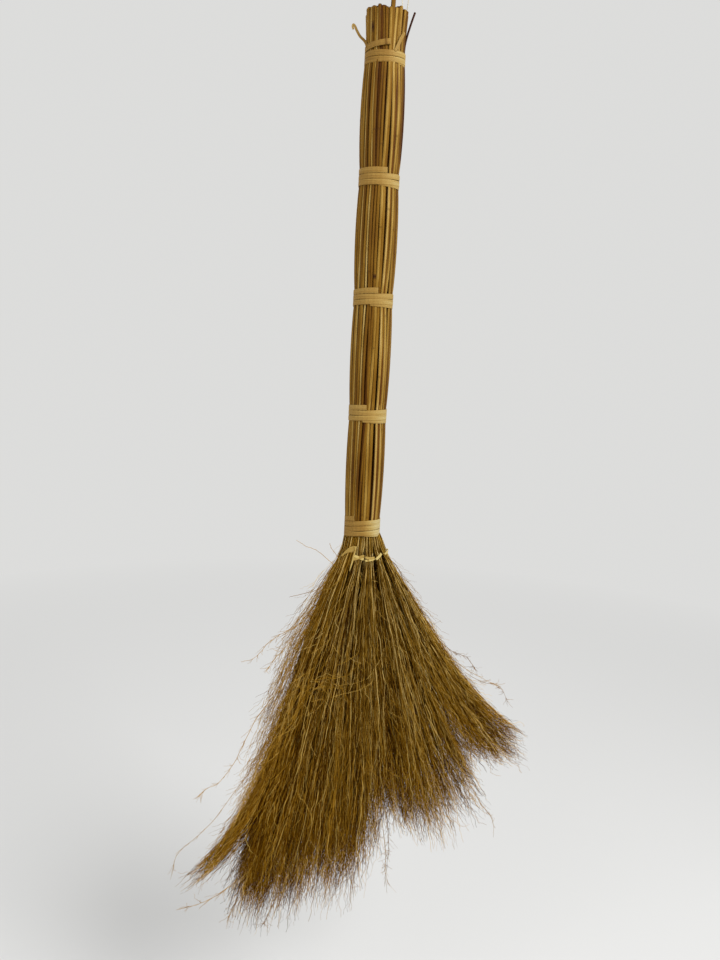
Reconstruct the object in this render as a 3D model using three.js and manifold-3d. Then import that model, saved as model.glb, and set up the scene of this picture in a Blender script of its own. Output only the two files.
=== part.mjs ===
// A hand-tied bamboo broom, hanging by a thin loop.
// Units are millimetres. +Z is up along the handle, +X to the right and +Y to the back.
// The origin is the top of the hanging loop, where a hook holds the broom.
// The handle is a bundle of thin bamboo stalks under five bindings of flat split cane. Below the
// lowest binding the stalks carry on as four bunches of twigs, parted and held by two twined strands.

import * as THREE from 'three'
import Module from 'manifold-3d'

const wasm = await Module()
wasm.setup()

// Stalks of the handle
const stalkDiameter = 4.7
const slimStalkDiameter = 2.4
const stalkClearance = 0.32
const outerStalkCount = 21
const stalkSides = 6
const tallestStalkIndex = 15
const splayedStalkIndex = 19
const tallestStalkRise = 14
const stalkTopSpread = 5
const stalkTopShares = [0.3, 0.8, 0, 0.5, 1, 0.2, 0.6, 0.1, 0.9, 0.4, 0.7]
const stalkBulge = 2.1
const stalkTopSplay = 3.1
const slimStalkSplay = 8.6
const slimStalkDrop = 4

// Levels along the broom, each measured down from the one before: the top of the loop, the usual top
// of the stalks, the middles of the bindings, and the twined strands
const loopRise = 50
const topBindingDrop = 41
const upperBindingDrop = 118
const middleBindingDrop = 121
const lowerBindingDrop = 122
const neckBindingDrop = 127
const twiningDrop = 35
const topLevel = -loopRise

// Where the hanging loop's top stands, out from the handle's axis
const hangRadius = 20.85
const hangAngle = 180 / outerStalkCount

// Bindings of flat split cane
const stripWidth = 5.4
const stripThickness = 0.95
const turnClearance = 0.5
const bindingClearance = 0.3
const bindingReach = 1.2
const stepsPerTurn = 20
const looseEndLift = 4.5
const looseEndTurn = 110

// Bunches of twigs below the handle
const neckHalfWidth = 31.8
const rowHalfWidth = 29
const rowHalfDepth = 15.5
const neckFootDepth = 15.8
const neckFootDrop = 7
const neckShift = 3
const seatClearance = 0.3
const bunchClearance = 0.5
const rowGap = 1.7
const fluteDepth = 0.7
const lobeInset = 0.25
const lobeOverlap = 6
const outlinePitch = 3.2

// Twigs
const twigPitch = 1.8
const twigRootRadius = 0.72
const twigMiddleRadius = 1.15
const twigMargin = 0.42
const twigEndMargin = 2.4
const twigSides = 3
const twigMiddleShare = 0.52
const fanReach = 450
const fanDepth = 74
const fanEdgeDepthShare = 0.4
const fanLeftAngle = -28.6
const fanRightAngle = 43.7
const fanSideBow = 13
const raggedShare = 0.08
const raggedStepShare = 0.618
const twigWaves = 3.3

// How far the twigs reach across the fan: share of its angle, share of its reach
const reachShares = [
  [0, 0.925], [0.05, 0.88], [0.085, 0.8], [0.125, 0.9], [0.14, 0.99], [0.21, 1],
  [0.32, 0.965], [0.415, 0.945], [0.455, 0.89], [0.5, 0.775], [0.555, 0.84],
  [0.65, 0.89], [0.79, 0.88], [0.805, 0.74], [0.87, 0.76], [0.94, 0.79], [1, 0.75],
]

// Twined strands
const twineThickness = 0.9
const twineGapWidth = 3
const twineFrontWidth = 4.5
const twineHalfPitch = 2
const twineClearance = 0.45
const twineCornerRound = 0.6
const twineEndTurn = 15
const twinePitch = 5

// Hanging loop, a cord of one route chosen by hand
const cordDiameter = 1
const cordSides = 8
const cordStep = 3
const cordRoute = [
  [-2.03, -3.11, -98], [-2.03, -3.11, -92], [-2.03, -3.11, -86], [-1.55, -3.11, -78],
  [-0.84, -3.11, -69], [-0.3, -3.11, -60], [0.23, -3.11, -50], [0.55, -4.1, -43],
  [0.8, -5.6, -34.5], [1, -7.1, -26], [1.1, -8.1, -18], [1.05, -7.9, -11],
  [0.8, -6.3, -5], [0.4, -3.5, -1.3], [0, 0, 0], [-0.5, 3.4, -1.3],
  [-1, 6.2, -5], [-1.3, 7.8, -11], [-1.35, 8, -18], [-1.2, 7, -26],
  [-1, 5.5, -34.5], [-0.8, 4, -43], [-0.7, 3.04, -50], [-1.2, 2.9, -60],
  [-1.72, 2.72, -69], [-2.4, 2.5, -78], [-2.86, 2.37, -86], [-2.86, 2.37, -92],
  [-2.86, 2.37, -98],
]

// Colour, roughness and metalness of each material
const stalkColours = [0xa67f42, 0x8c6930, 0xb08c4e, 0x7a5a28, 0x9c7638]
const slimStalkColour = 0x5a2c14
const bindingColour = 0xb99862
const twigColour = 0x7a5f2c
const twineColour = 0xc4ab6e
const cordColour = 0xcfc4ac

function matte(colour) {
  return new THREE.MeshStandardMaterial({ color: colour, roughness: 0.75, metalness: 0 })
}

function named(name, geometry, colour) {
  const mesh = new THREE.Mesh(geometry, matte(colour))
  mesh.name = name
  return mesh
}

const upward = new THREE.Vector3(0, 0, 1)

function polar(radius, angle, z) {
  const turned = THREE.MathUtils.degToRad(angle)
  return new THREE.Vector3(radius * Math.cos(turned), radius * Math.sin(turned), z)
}

// One closed body, made of rings of points. Each ring runs counterclockwise as seen when looking
// along the body from its first ring to its last.
class Body {
  constructor() {
    this.points = []
    this.faces = []
  }

  ring(points) {
    const first = this.points.length
    this.points.push(...points)
    return points.map((point, index) => first + index)
  }

  sides(near, far) {
    for (let i = 0; i < near.length; i += 1) {
      const j = (i + 1) % near.length
      this.faces.push([near[i], far[i], near[j]], [near[j], far[i], far[j]])
    }
  }

  point(near, tip) {
    const end = this.points.push(tip) - 1
    for (let i = 0; i < near.length; i += 1) {
      this.faces.push([near[i], end, near[(i + 1) % near.length]])
    }
  }

  // A flat end seen along Z, with a hole for each ring in holes. It faces up, or down if so said.
  levelEnd(outline, holes, facesDown) {
    const flat = (ids) => ids.map((id) => new THREE.Vector2(this.points[id].x, this.points[id].y))
    const ids = [...outline, ...holes.flat()]
    for (const face of THREE.ShapeUtils.triangulateShape(flat(outline), holes.map(flat))) {
      const facesUp = !THREE.ShapeUtils.isClockWise(flat(face.map((at) => ids[at])))
      const [a, b, c] = face.map((at) => ids[at])
      this.faces.push(facesUp !== facesDown ? [a, b, c] : [a, c, b])
    }
  }

  // A flat end of four or more points in a convex ring, at the start or the end of a tube
  convexEnd(ring, isStart) {
    for (let i = 1; i < ring.length - 1; i += 1) {
      const [a, b] = isStart ? [ring[i], ring[i + 1]] : [ring[i + 1], ring[i]]
      this.faces.push([ring[0], a, b])
    }
  }

  tube(rings) {
    const ids = rings.map((points) => this.ring(points))
    for (let i = 0; i < ids.length - 1; i += 1) this.sides(ids[i], ids[i + 1])
    this.convexEnd(ids[0], true)
    this.convexEnd(ids[ids.length - 1], false)
    return this
  }

  geometry() {
    const geometry = new THREE.BufferGeometry()
    const numbers = this.points.flatMap((point) => point.toArray())
    geometry.setAttribute('position', new THREE.Float32BufferAttribute(numbers, 3))
    geometry.setIndex(this.faces.flat())
    geometry.computeVertexNormals()
    return geometry
  }

  solid() {
    const vertProperties = Float32Array.from(this.points.flatMap((point) => point.toArray()))
    const triVerts = Uint32Array.from(this.faces.flat())
    return new wasm.Manifold(new wasm.Mesh({ numProp: 3, vertProperties, triVerts }))
  }
}

function joined(bodies) {
  const solid = bodies.map((body) => body.solid()).reduce((whole, next) => whole.add(next))
  const { vertProperties, triVerts } = solid.getMesh()
  const geometry = new THREE.BufferGeometry()
  geometry.setAttribute('position', new THREE.BufferAttribute(Float32Array.from(vertProperties), 3))
  geometry.setIndex([...triVerts])
  geometry.computeVertexNormals()
  return geometry
}

// Handle bundle: rings of stalks that just clear each other where a binding draws them together
const stalkPitch = stalkDiameter + stalkClearance
const outerRingRadius = stalkPitch / (2 * Math.sin(Math.PI / outerStalkCount))
const bundleRadius = outerRingRadius + stalkDiameter / 2
const outerStalkAngle = 360 / outerStalkCount

// Bindings, from the top down. Each is one strip that climbs as it turns to the left round the back.
const turnPitch = stripWidth + turnClearance
const bindings = [
  { name: 'top_binding', drop: topBindingDrop, turns: 2.92, endAngle: -100, lift: looseEndLift },
  { name: 'upper_binding', drop: upperBindingDrop, turns: 3.06, endAngle: -89, lift: 0 },
  { name: 'middle_binding', drop: middleBindingDrop, turns: 3.06, endAngle: -98, lift: 0 },
  { name: 'lower_binding', drop: lowerBindingDrop, turns: 3.03, endAngle: -115, lift: 0 },
  { name: 'neck_binding', drop: neckBindingDrop, turns: 3.91, endAngle: -138, lift: 0 },
]
let bindingLevel = topLevel
for (const binding of bindings) {
  bindingLevel -= binding.drop
  binding.level = bindingLevel
  binding.halfHeight = (binding.turns * turnPitch + stripWidth) / 2
}
const neckBinding = bindings[bindings.length - 1]
const stalkFootLevel = neckBinding.level
const twiningLevel = neckBinding.level - twiningDrop

// How far the outer stalks stand out from where the bindings hold them, from the top down
function stalkBows(topRise, splay) {
  const bows = [[topLevel + topRise, splay]]
  bindings.forEach((binding, index) => {
    const above = binding.level + binding.halfHeight + bindingReach
    const below = binding.level - binding.halfHeight - bindingReach
    bows.push([above, 0])
    const next = bindings[index + 1]
    if (next) bows.push([below, 0], [(binding.level + next.level) / 2, stalkBulge])
  })
  bows.push([stalkFootLevel, 0])
  return bows
}

function stalk(ringRadius, angle, diameter, bows) {
  const rings = bows.map(([level, bow]) => {
    const centre = polar(ringRadius + bow, angle, level)
    const points = []
    for (let side = 0; side < stalkSides; side += 1) {
      points.push(polar(diameter / 2, angle + (360 * side) / stalkSides, 0).add(centre))
    }
    return points
  })
  return new Body().tube(rings).geometry()
}

function stalkTopRise(index) {
  return -stalkTopSpread * stalkTopShares[index % stalkTopShares.length]
}

function outerStalks() {
  const stalks = []
  for (let index = 0; index < outerStalkCount; index += 1) {
    const angle = (index + 0.5) * outerStalkAngle
    const colour = stalkColours[index % stalkColours.length]
    if (index === splayedStalkIndex) {
      const radius = bundleRadius - slimStalkDiameter / 2
      const bows = stalkBows(-slimStalkDrop, slimStalkSplay)
      const geometry = stalk(radius, angle, slimStalkDiameter, bows)
      stalks.push(named('splayed_stalk', geometry, slimStalkColour))
    } else {
      const rise = index === tallestStalkIndex ? tallestStalkRise : stalkTopRise(index)
      const geometry = stalk(outerRingRadius, angle, stalkDiameter, stalkBows(rise, stalkTopSplay))
      const name = index === tallestStalkIndex ? 'tallest_stalk' : `outer_stalk_${index + 1}`
      stalks.push(named(name, geometry, colour))
    }
  }
  return stalks
}

// Straight stalks in rings inside the outer one, and one at the core
function insideStalks() {
  const stalks = []
  const ringNames = ['middle_stalk', 'inner_stalk', 'deep_stalk', 'core_stalk']
  let ring = 0
  for (let radius = outerRingRadius - stalkPitch; radius > stalkPitch; radius -= stalkPitch) {
    const count = Math.floor(Math.PI / Math.asin(stalkPitch / (2 * radius)))
    for (let i = 0; i < count; i += 1) {
      const bows = [[topLevel + stalkTopRise(3 * i + ring), 0], [stalkFootLevel, 0]]
      const geometry = stalk(radius, (360 * i) / count, stalkDiameter, bows)
      const colour = stalkColours[(i + ring) % stalkColours.length]
      stalks.push(named(`${ringNames[ring]}_${i + 1}`, geometry, colour))
    }
    ring += 1
  }
  const bows = [[topLevel + stalkTopRise(ring), 0], [stalkFootLevel, 0]]
  stalks.push(named('core_stalk', stalk(0, 0, stalkDiameter, bows), stalkColours[0]))
  return stalks
}

// The section of a flat strip, with its width upright and its face turned outward
function stripSection(centre, outward) {
  const corners = [[-1, -1], [1, -1], [1, 1], [-1, 1]]
  return corners.map(([across, up]) => centre.clone()
    .addScaledVector(outward, (across * stripThickness) / 2)
    .addScaledVector(upward, (up * stripWidth) / 2))
}

// The least distance between parts of one strip that lie at least so many sections apart
function leastGap(rings, apart) {
  let least = Infinity
  const line = new THREE.Line3()
  const nearest = new THREE.Vector3()
  for (let i = 0; i + apart < rings.length; i += 1) {
    for (let j = i + apart; j < rings.length - 1; j += 1) {
      for (const corner of rings[i]) {
        for (let k = 0; k < rings[j].length; k += 1) {
          line.set(rings[j][k], rings[j + 1][k])
          line.closestPointToPoint(corner, true, nearest)
          least = Math.min(least, nearest.distanceTo(corner))
        }
      }
    }
  }
  return least
}

function windingRings({ level, turns, endAngle, lift }) {
  const steps = Math.round(turns * stepsPerTurn)
  const innerRadius = (bundleRadius + bindingClearance) / Math.cos(Math.PI / stepsPerTurn)
  const rings = []
  for (let step = 0; step <= steps; step += 1) {
    const left = turns * (1 - step / steps)
    const angle = endAngle - 360 * left
    const loose = Math.max(0, 1 - (360 * left) / looseEndTurn)
    const z = level + turnPitch * (turns / 2 - left) + lift * loose
    const centre = polar(innerRadius + stripThickness / 2, angle, z)
    rings.push(stripSection(centre, polar(1, angle, 0)))
  }
  return rings
}

function windings() {
  return bindings.map((binding) => {
    const rings = windingRings(binding)
    const gap = leastGap(rings, Math.round(stepsPerTurn / 2))
    console.log(`${binding.name}: least gap to itself ${gap.toFixed(2)} mm`)
    return named(binding.name, new Body().tube(rings).geometry(), bindingColour)
  })
}

// Bunches. A lobe spans a share of the neck's width, from -1 at the left to 1 at the right, and its
// twigs fan over a share of the whole fan's angle.
const bunches = [
  { name: 'left_bunch', lobes: [{ neckShares: [-1, -0.34], fanShares: [0, 0.29] }] },
  { name: 'centre_left_bunch', lobes: [{ neckShares: [-0.34, 0.06], fanShares: [0.29, 0.495] }] },
  { name: 'centre_right_bunch', lobes: [{ neckShares: [0.06, 0.45], fanShares: [0.505, 0.797] }] },
  {
    name: 'right_bunch',
    lobes: [
      { neckShares: [0.45, 0.73], fanShares: [0.806, 0.9] },
      { neckShares: [0.73, 1], fanShares: [0.91, 1] },
    ],
  },
]

// The neck's own oval at each level: half its width, half its depth, and the gap between bunches
const neckTop = stalkFootLevel - seatClearance
const neckHeldTo = neckBinding.level - neckBinding.halfHeight - bindingReach
const neckFoot = twiningLevel - neckFootDrop
const neckOvals = [
  { level: neckTop, halfWidth: bundleRadius, halfDepth: bundleRadius, gap: bunchClearance },
  { level: neckHeldTo, halfWidth: bundleRadius, halfDepth: bundleRadius, gap: bunchClearance },
  { level: twiningLevel, halfWidth: rowHalfWidth, halfDepth: rowHalfDepth, gap: rowGap },
  { level: neckFoot, halfWidth: neckHalfWidth, halfDepth: neckFootDepth, gap: rowGap },
]

function ovalAt(level) {
  const below = neckOvals.findIndex((oval) => oval.level <= level)
  const low = neckOvals[Math.max(below, 1)]
  const high = neckOvals[Math.max(below, 1) - 1]
  const share = (level - low.level) / (high.level - low.level)
  const between = (key) => THREE.MathUtils.lerp(low[key], high[key], share)
  const lean = THREE.MathUtils.clamp((neckHeldTo - level) / (neckHeldTo - twiningLevel), 0, 1)
  return {
    level,
    halfWidth: between('halfWidth'),
    halfDepth: between('halfDepth'),
    gap: between('gap'),
    shift: neckShift * lean,
  }
}

// Where a lobe starts and ends across its oval, clear of its neighbours
function lobeSpan([from, to], oval) {
  const left = from > -1 ? oval.halfWidth * from + oval.gap / 2 : -oval.halfWidth
  const right = to < 1 ? oval.halfWidth * to - oval.gap / 2 : oval.halfWidth
  return [left, right]
}

// A lobe's outline, counterclockwise from above, with a shallow flute between its stalks
function lobeOutline(shares, oval, inset) {
  const [left, right] = lobeSpan(shares, oval)
  const start = Math.asin(left / oval.halfWidth)
  const end = Math.asin(right / oval.halfWidth)
  const turn = Math.asin(shares[1]) - Math.asin(shares[0])
  const count = 2 * Math.max(1, Math.round((turn * rowHalfWidth) / (2 * outlinePitch)))
  const front = []
  for (let i = 0; i <= count; i += 1) {
    const turned = start + ((end - start) * i) / count
    const depth = oval.halfDepth - inset - (i % 2 === 0 ? fluteDepth : 0)
    front.push([(oval.halfWidth - inset) * Math.sin(turned), depth * Math.cos(turned)])
  }
  const back = front.slice(shares[0] > -1 ? 0 : 1, shares[1] < 1 ? undefined : -1).reverse()
  return [...front.map(([x, y]) => [x, -y]), ...back]
    .map(([x, y]) => new THREE.Vector3(x + oval.shift, y, oval.level))
}

function reachShareAt(fanShare) {
  const next = Math.max(1, reachShares.findIndex(([at]) => at >= fanShare))
  const [[fromAt, fromReach], [toAt, toReach]] = [reachShares[next - 1], reachShares[next]]
  return THREE.MathUtils.mapLinear(fanShare, fromAt, toAt, fromReach, toReach)
}

function twigTip(fanShare, depthShare, ragged) {
  const angle = THREE.MathUtils.degToRad(THREE.MathUtils.lerp(fanLeftAngle, fanRightAngle, fanShare))
  const reach = fanReach * reachShareAt(fanShare) * (1 - raggedShare * ragged)
  const fullness = fanEdgeDepthShare + (1 - fanEdgeDepthShare) * Math.sin(Math.PI * fanShare)
  const depth = (fanDepth / 2) * fullness * depthShare
  const x = neckShift + reach * Math.sin(angle)
  return new THREE.Vector3(x, depth, twiningLevel - reach * Math.cos(angle))
}

// Twigs bow out: halfway down, a side twig lies nearer the middle than a straight one would
function twigMiddle(root, tip) {
  const middle = root.clone().lerp(tip, twigMiddleShare)
  middle.x -= fanSideBow * Math.sin((tip.x / fanReach) * Math.PI)
  return middle
}

function twigRing(centre, radius, turn) {
  const points = []
  for (let side = 0; side < twigSides; side += 1) {
    points.push(polar(radius, (360 * (side + turn)) / twigSides, 0).add(centre))
  }
  return points
}

// Half the depth of an outline at a place across it
function depthAt(outline, x) {
  let depth = 0
  outline.forEach((from, index) => {
    const to = outline[(index + 1) % outline.length]
    if (from.y < 0 || to.y < 0 || Math.max(from.x, to.x) < x || Math.min(from.x, to.x) > x) return
    depth = Math.max(depth, THREE.MathUtils.mapLinear(x, from.x, to.x, from.y, to.y))
  })
  return depth
}

// The roots of a lobe's twigs, in columns across the foot of the neck, and where each twig leads
function lobeTwigs({ neckShares, fanShares }, inset) {
  const oval = ovalAt(neckFoot)
  const outline = lobeOutline(neckShares, oval, inset)
  const edge = twigRootRadius + twigMargin + inset
  const [left, right] = lobeSpan(neckShares, oval)
  const first = left + edge + (neckShares[0] > -1 ? 0 : twigEndMargin)
  const last = right - edge - (neckShares[1] < 1 ? 0 : twigEndMargin)
  const columns = Math.max(1, Math.floor((last - first) / twigPitch))
  const columnFanShare = (fanShares[1] - fanShares[0]) / (columns + 1)
  const twigs = []
  for (let column = 0; column <= columns; column += 1) {
    const across = column / columns
    const x = THREE.MathUtils.lerp(first, last, across) + oval.shift
    const depths = [x - twigRootRadius, x, x + twigRootRadius].map((at) => depthAt(outline, at))
    const depth = Math.min(...depths) - edge
    const rows = Math.floor((2 * depth) / twigPitch)
    for (let row = 0; row <= rows; row += 1) {
      const depthShare = rows > 0 ? (2 * row) / rows - 1 : 0
      const root = new THREE.Vector3(x, depth * depthShare, neckFoot)
      const middleOfColumn = fanShares[0] + columnFanShare * (column + 0.5)
      const wave = Math.sin(Math.PI * twigWaves * depthShare)
      const fanShare = middleOfColumn + (columnFanShare * wave) / 2
      const ragged = ((column * rows + row) * raggedStepShare) % 1
      twigs.push({ root, tip: twigTip(fanShare, depthShare, ragged), turn: ragged })
    }
  }
  return twigs
}

let twigCount = 0

function addTwigs(body, foot, twigs) {
  const roots = twigs.map(({ root, tip, turn }) => {
    const rootRing = body.ring(twigRing(root, twigRootRadius, turn))
    const middleRing = body.ring(twigRing(twigMiddle(root, tip), twigMiddleRadius, turn))
    body.sides(rootRing, middleRing)
    body.point(middleRing, tip)
    return rootRing
  })
  body.levelEnd(foot, roots, true)
  twigCount += twigs.length
}

function neckBody(shares, levels, inset) {
  const body = new Body()
  const rings = levels.map((level) => body.ring(lobeOutline(shares, ovalAt(level), inset)))
  for (let i = 0; i < rings.length - 1; i += 1) body.sides(rings[i], rings[i + 1])
  body.levelEnd(rings[0], [], false)
  return { body, foot: rings[rings.length - 1] }
}

function bunchGeometry({ lobes }) {
  if (lobes.length === 1) {
    const { body, foot } = neckBody(lobes[0].neckShares, neckOvals.map(({ level }) => level), 0)
    addTwigs(body, foot, lobeTwigs(lobes[0], 0))
    return body.geometry()
  }
  const collarFoot = neckHeldTo + bindingReach
  const whole = [lobes[0].neckShares[0], lobes[lobes.length - 1].neckShares[1]]
  const collar = neckBody(whole, [neckTop, collarFoot], 0)
  collar.body.levelEnd(collar.foot, [], true)
  const parts = lobes.map((lobe) => {
    const levels = [collarFoot + lobeOverlap, neckHeldTo, twiningLevel, neckFoot]
    const { body, foot } = neckBody(lobe.neckShares, levels, lobeInset)
    addTwigs(body, foot, lobeTwigs(lobe, lobeInset))
    return body
  })
  return joined([collar.body, ...parts])
}

// Twined strands. They pass the lobes in turn, one in front and one behind, and change over in each
// gap, where the strand going back lies above the strand coming forward.
function twinePath(startsInFront) {
  const offset = twineClearance + twineThickness / 2
  const endTurn = THREE.MathUtils.degToRad(90 + twineEndTurn)
  const crossingTurn = THREE.MathUtils.degToRad(90 - twineEndTurn)
  const lobes = bunches.flatMap((bunch) => bunch.lobes)
  const path = []

  // A place on the neck's surface at any level, turned so far from its middle
  const beside = (turned, side) => (level) => {
    const oval = ovalAt(level)
    const x = (oval.halfWidth + offset) * Math.sin(turned)
    const y = (oval.halfDepth + offset) * Math.cos(turned)
    return new THREE.Vector3(oval.shift + x, side * y, level)
  }

  // A place at the mouth of a gap, where a strand turns round the corner of its lobe
  const atMouth = (share, side, across, out) => (level) => {
    const oval = ovalAt(level)
    const y = oval.halfDepth * Math.sqrt(1 - share ** 2) + out
    return new THREE.Vector3(oval.shift + oval.halfWidth * share + across, side * y, level)
  }

  lobes.forEach(({ neckShares: [from, to] }, index) => {
    const side = (index % 2 === 0) === startsInFront ? -1 : 1
    const firstRise = side * twineHalfPitch
    const inner = offset - twineCornerRound
    const [opensLeft, opensRight] = [from === -1, to === 1]
    const start = opensLeft ? -endTurn : Math.asin(from)
    const end = opensRight ? endTurn : Math.asin(to)
    const count = Math.max(3, Math.round(((end - start) * rowHalfWidth) / twinePitch))
    if (!opensLeft) {
      path.push({ place: atMouth(from, side, 0, inner), rise: firstRise, flatness: 0 })
      path.push({ place: atMouth(from, side, twineCornerRound, offset), rise: firstRise, flatness: 0 })
    }
    for (let i = opensLeft ? 0 : 1; i <= (opensRight ? count : count - 1); i += 1) {
      const turned = THREE.MathUtils.lerp(start, end, i / count)
      const place = beside(turned, side)
      const near = Math.max(start, -crossingTurn)
      const far = Math.min(end, crossingTurn)
      const along = THREE.MathUtils.clamp((turned - near) / (far - near), 0, 1)
      const rise = firstRise * Math.cos(Math.PI * along)
      path.push({ place, rise, flatness: Math.sin(Math.PI * along) ** 2 })
    }
    if (!opensRight) {
      path.push({ place: atMouth(to, side, -twineCornerRound, offset), rise: -firstRise, flatness: 0 })
      path.push({ place: atMouth(to, side, 0, inner), rise: -firstRise, flatness: 0 })
    }
  })
  return path
}

// Sections of a strip that leans with the neck and is as thick past a corner as before it
function twineRings(path) {
  const centres = path.map(({ place, rise }) => place(twiningLevel + rise))
  return path.map(({ place, rise, flatness }, index) => {
    const centre = centres[index]
    const arriving = centre.clone().sub(centres[index - 1] ?? centre).setZ(0).normalize()
    const leaving = (centres[index + 1] ?? centre).clone().sub(centre).setZ(0).normalize()
    const along = arriving.clone().add(leaving).normalize()
    const mitre = Math.max(along.dot(arriving), along.dot(leaving))
    const outward = along.clone().cross(upward)
    const width = THREE.MathUtils.lerp(twineGapWidth, twineFrontWidth, flatness)
    const foot = place(twiningLevel + rise - width / 2)
    const head = place(twiningLevel + rise + width / 2)
    const half = twineThickness / (2 * mitre)
    return [[foot, -half], [foot, half], [head, half], [head, -half]]
      .map(([corner, out]) => corner.clone().addScaledVector(outward, out))
  })
}

function twinedStrands() {
  return ['front_twining_strand', 'rear_twining_strand'].map((name, index) => {
    const rings = twineRings(twinePath(index === 0))
    const gap = leastGap(rings, 3)
    console.log(`${name}: least gap to itself ${gap.toFixed(2)} mm`)
    return named(name, new Body().tube(rings).geometry(), twineColour)
  })
}

function hangingLoop() {
  const route = new THREE.CatmullRomCurve3(cordRoute.map((point) => new THREE.Vector3(...point)))
  const section = new THREE.Shape()
  for (let side = 0; side < cordSides; side += 1) {
    const corner = polar(cordDiameter / 2, (360 * side) / cordSides, 0)
    if (side === 0) section.moveTo(corner.x, corner.y)
    else section.lineTo(corner.x, corner.y)
  }
  const steps = Math.round(route.getLength() / cordStep)
  console.log(`hanging_loop: ${route.getLength().toFixed(0)} mm of cord`)
  const geometry = new THREE.ExtrudeGeometry(section, { steps, extrudePath: route })
  return named('hanging_loop', geometry, cordColour)
}

const broom = new THREE.Group()
broom.add(hangingLoop())

const tied = new THREE.Group()
tied.position.copy(polar(hangRadius, hangAngle, 0).negate())
tied.add(...outerStalks(), ...insideStalks(), ...windings(), ...twinedStrands())
for (const bunch of bunches) {
  tied.add(named(bunch.name, bunchGeometry(bunch), twigColour))
}
console.log(`${twigCount} twigs`)
broom.add(tied)

export default broom
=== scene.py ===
# %% [markdown]
# # A hand-tied bamboo broom
#
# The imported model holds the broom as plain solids: stalks, bindings, twined strands and four bunches of
# straight twigs. This lesson keeps to the places of those solids and dresses them as the real thing:
# slender bamboo shoots with their joints and cut ends, strips of split cane, and a fan of twigs that fork
# again and again until they are as thin as hair. All lengths are metres.

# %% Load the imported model
import math

import bpy
import numpy as np
from mathutils import Matrix, Vector


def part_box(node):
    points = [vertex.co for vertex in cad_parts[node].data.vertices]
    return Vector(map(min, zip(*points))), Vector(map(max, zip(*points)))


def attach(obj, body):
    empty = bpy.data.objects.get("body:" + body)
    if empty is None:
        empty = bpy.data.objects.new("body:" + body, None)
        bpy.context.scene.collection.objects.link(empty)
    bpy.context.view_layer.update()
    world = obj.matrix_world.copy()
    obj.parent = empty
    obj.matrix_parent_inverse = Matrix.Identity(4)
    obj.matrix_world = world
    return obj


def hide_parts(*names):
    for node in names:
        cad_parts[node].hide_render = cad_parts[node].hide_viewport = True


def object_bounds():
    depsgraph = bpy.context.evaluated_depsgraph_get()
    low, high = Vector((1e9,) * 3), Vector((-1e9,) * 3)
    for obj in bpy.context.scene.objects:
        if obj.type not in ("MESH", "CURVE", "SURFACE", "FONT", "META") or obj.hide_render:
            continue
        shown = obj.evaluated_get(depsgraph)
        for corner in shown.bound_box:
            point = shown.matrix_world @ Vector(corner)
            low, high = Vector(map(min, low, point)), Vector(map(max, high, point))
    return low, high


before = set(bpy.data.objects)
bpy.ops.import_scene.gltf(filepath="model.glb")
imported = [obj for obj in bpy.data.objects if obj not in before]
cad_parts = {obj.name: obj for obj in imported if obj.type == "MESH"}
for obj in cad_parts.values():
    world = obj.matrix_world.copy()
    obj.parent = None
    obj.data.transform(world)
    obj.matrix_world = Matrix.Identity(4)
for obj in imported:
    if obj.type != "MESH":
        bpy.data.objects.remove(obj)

MM = 0.001
cad_low, cad_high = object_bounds()
print("CAD box", [round(high - low, 4) for low, high in zip(cad_low, cad_high)])

# %% [markdown]
# ## Where things are
#
# Nothing is placed by eye where the solids already say it. The core stalk's box gives the axis of the
# handle, each binding's box gives its level, and the twined strands give the level where the fan starts.

# %% Levels read from the solids
BINDING_NODES = ("top_binding", "upper_binding", "middle_binding", "lower_binding", "neck_binding")


def middle_of(node):
    low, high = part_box(node)
    return (Vector(low) + Vector(high)) / 2


AXIS = np.array([*middle_of("core_stalk").xy, 0.0])
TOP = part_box("core_stalk")[1][2]
BINDING_LEVELS = [middle_of(node).z for node in BINDING_NODES]
ROW = middle_of("front_twining_strand").z


def around(out, angle, z):
    """Places at a distance and an angle round the handle's axis, at height z."""
    return np.stack([AXIS[0] + out * np.cos(angle), AXIS[1] + out * np.sin(angle), z], axis=-1)


print("axis", np.round(AXIS, 4), "levels", np.round(BINDING_LEVELS, 4), "row", round(ROW, 4))

# %% [markdown]
# ## The camera
#
# The photographer stood a little to the left of the broom and level with the middle of its handle. The
# camera was found from the wires of the grid that the broom hangs on, so its three axes are plain
# numbers, and the focal length is kept in pixels of the photograph's long side.

# %% Camera
IMAGE_LONG_SIDE = 960
FOCAL_PIXELS = 721.5
CAMERA_PLACE = Vector((-0.30775, -0.73983, ROW + 0.21395))
CAMERA_RIGHT = Vector((0.93553, -0.35004, 0.04745))
CAMERA_UP = Vector((0.01128, 0.16387, 0.98642))
CAMERA_BACK = Vector((-0.35306, -0.92229, 0.15726))

camera_data = bpy.data.cameras.new("camera")
camera_data.lens = FOCAL_PIXELS * camera_data.sensor_width / IMAGE_LONG_SIDE
camera = bpy.data.objects.new("camera", camera_data)
bpy.context.scene.collection.objects.link(camera)
turned = Matrix((CAMERA_RIGHT, CAMERA_UP, CAMERA_BACK)).transposed().to_4x4()
camera.matrix_world = Matrix.Translation(CAMERA_PLACE) @ turned
bpy.context.scene.camera = camera
print("lens", round(camera_data.lens, 2), "mm")

# %% [markdown]
# ## Shader maths as sums
#
# Node trees get hard to read when every multiplication is three lines of code. A small class wraps an
# output socket, so that `streaks * 0.3 + tone` adds its own Math nodes. Colours are mixed with Mix nodes,
# because a Math node would turn them grey. Every other node comes from `Sheet.node`.

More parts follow.
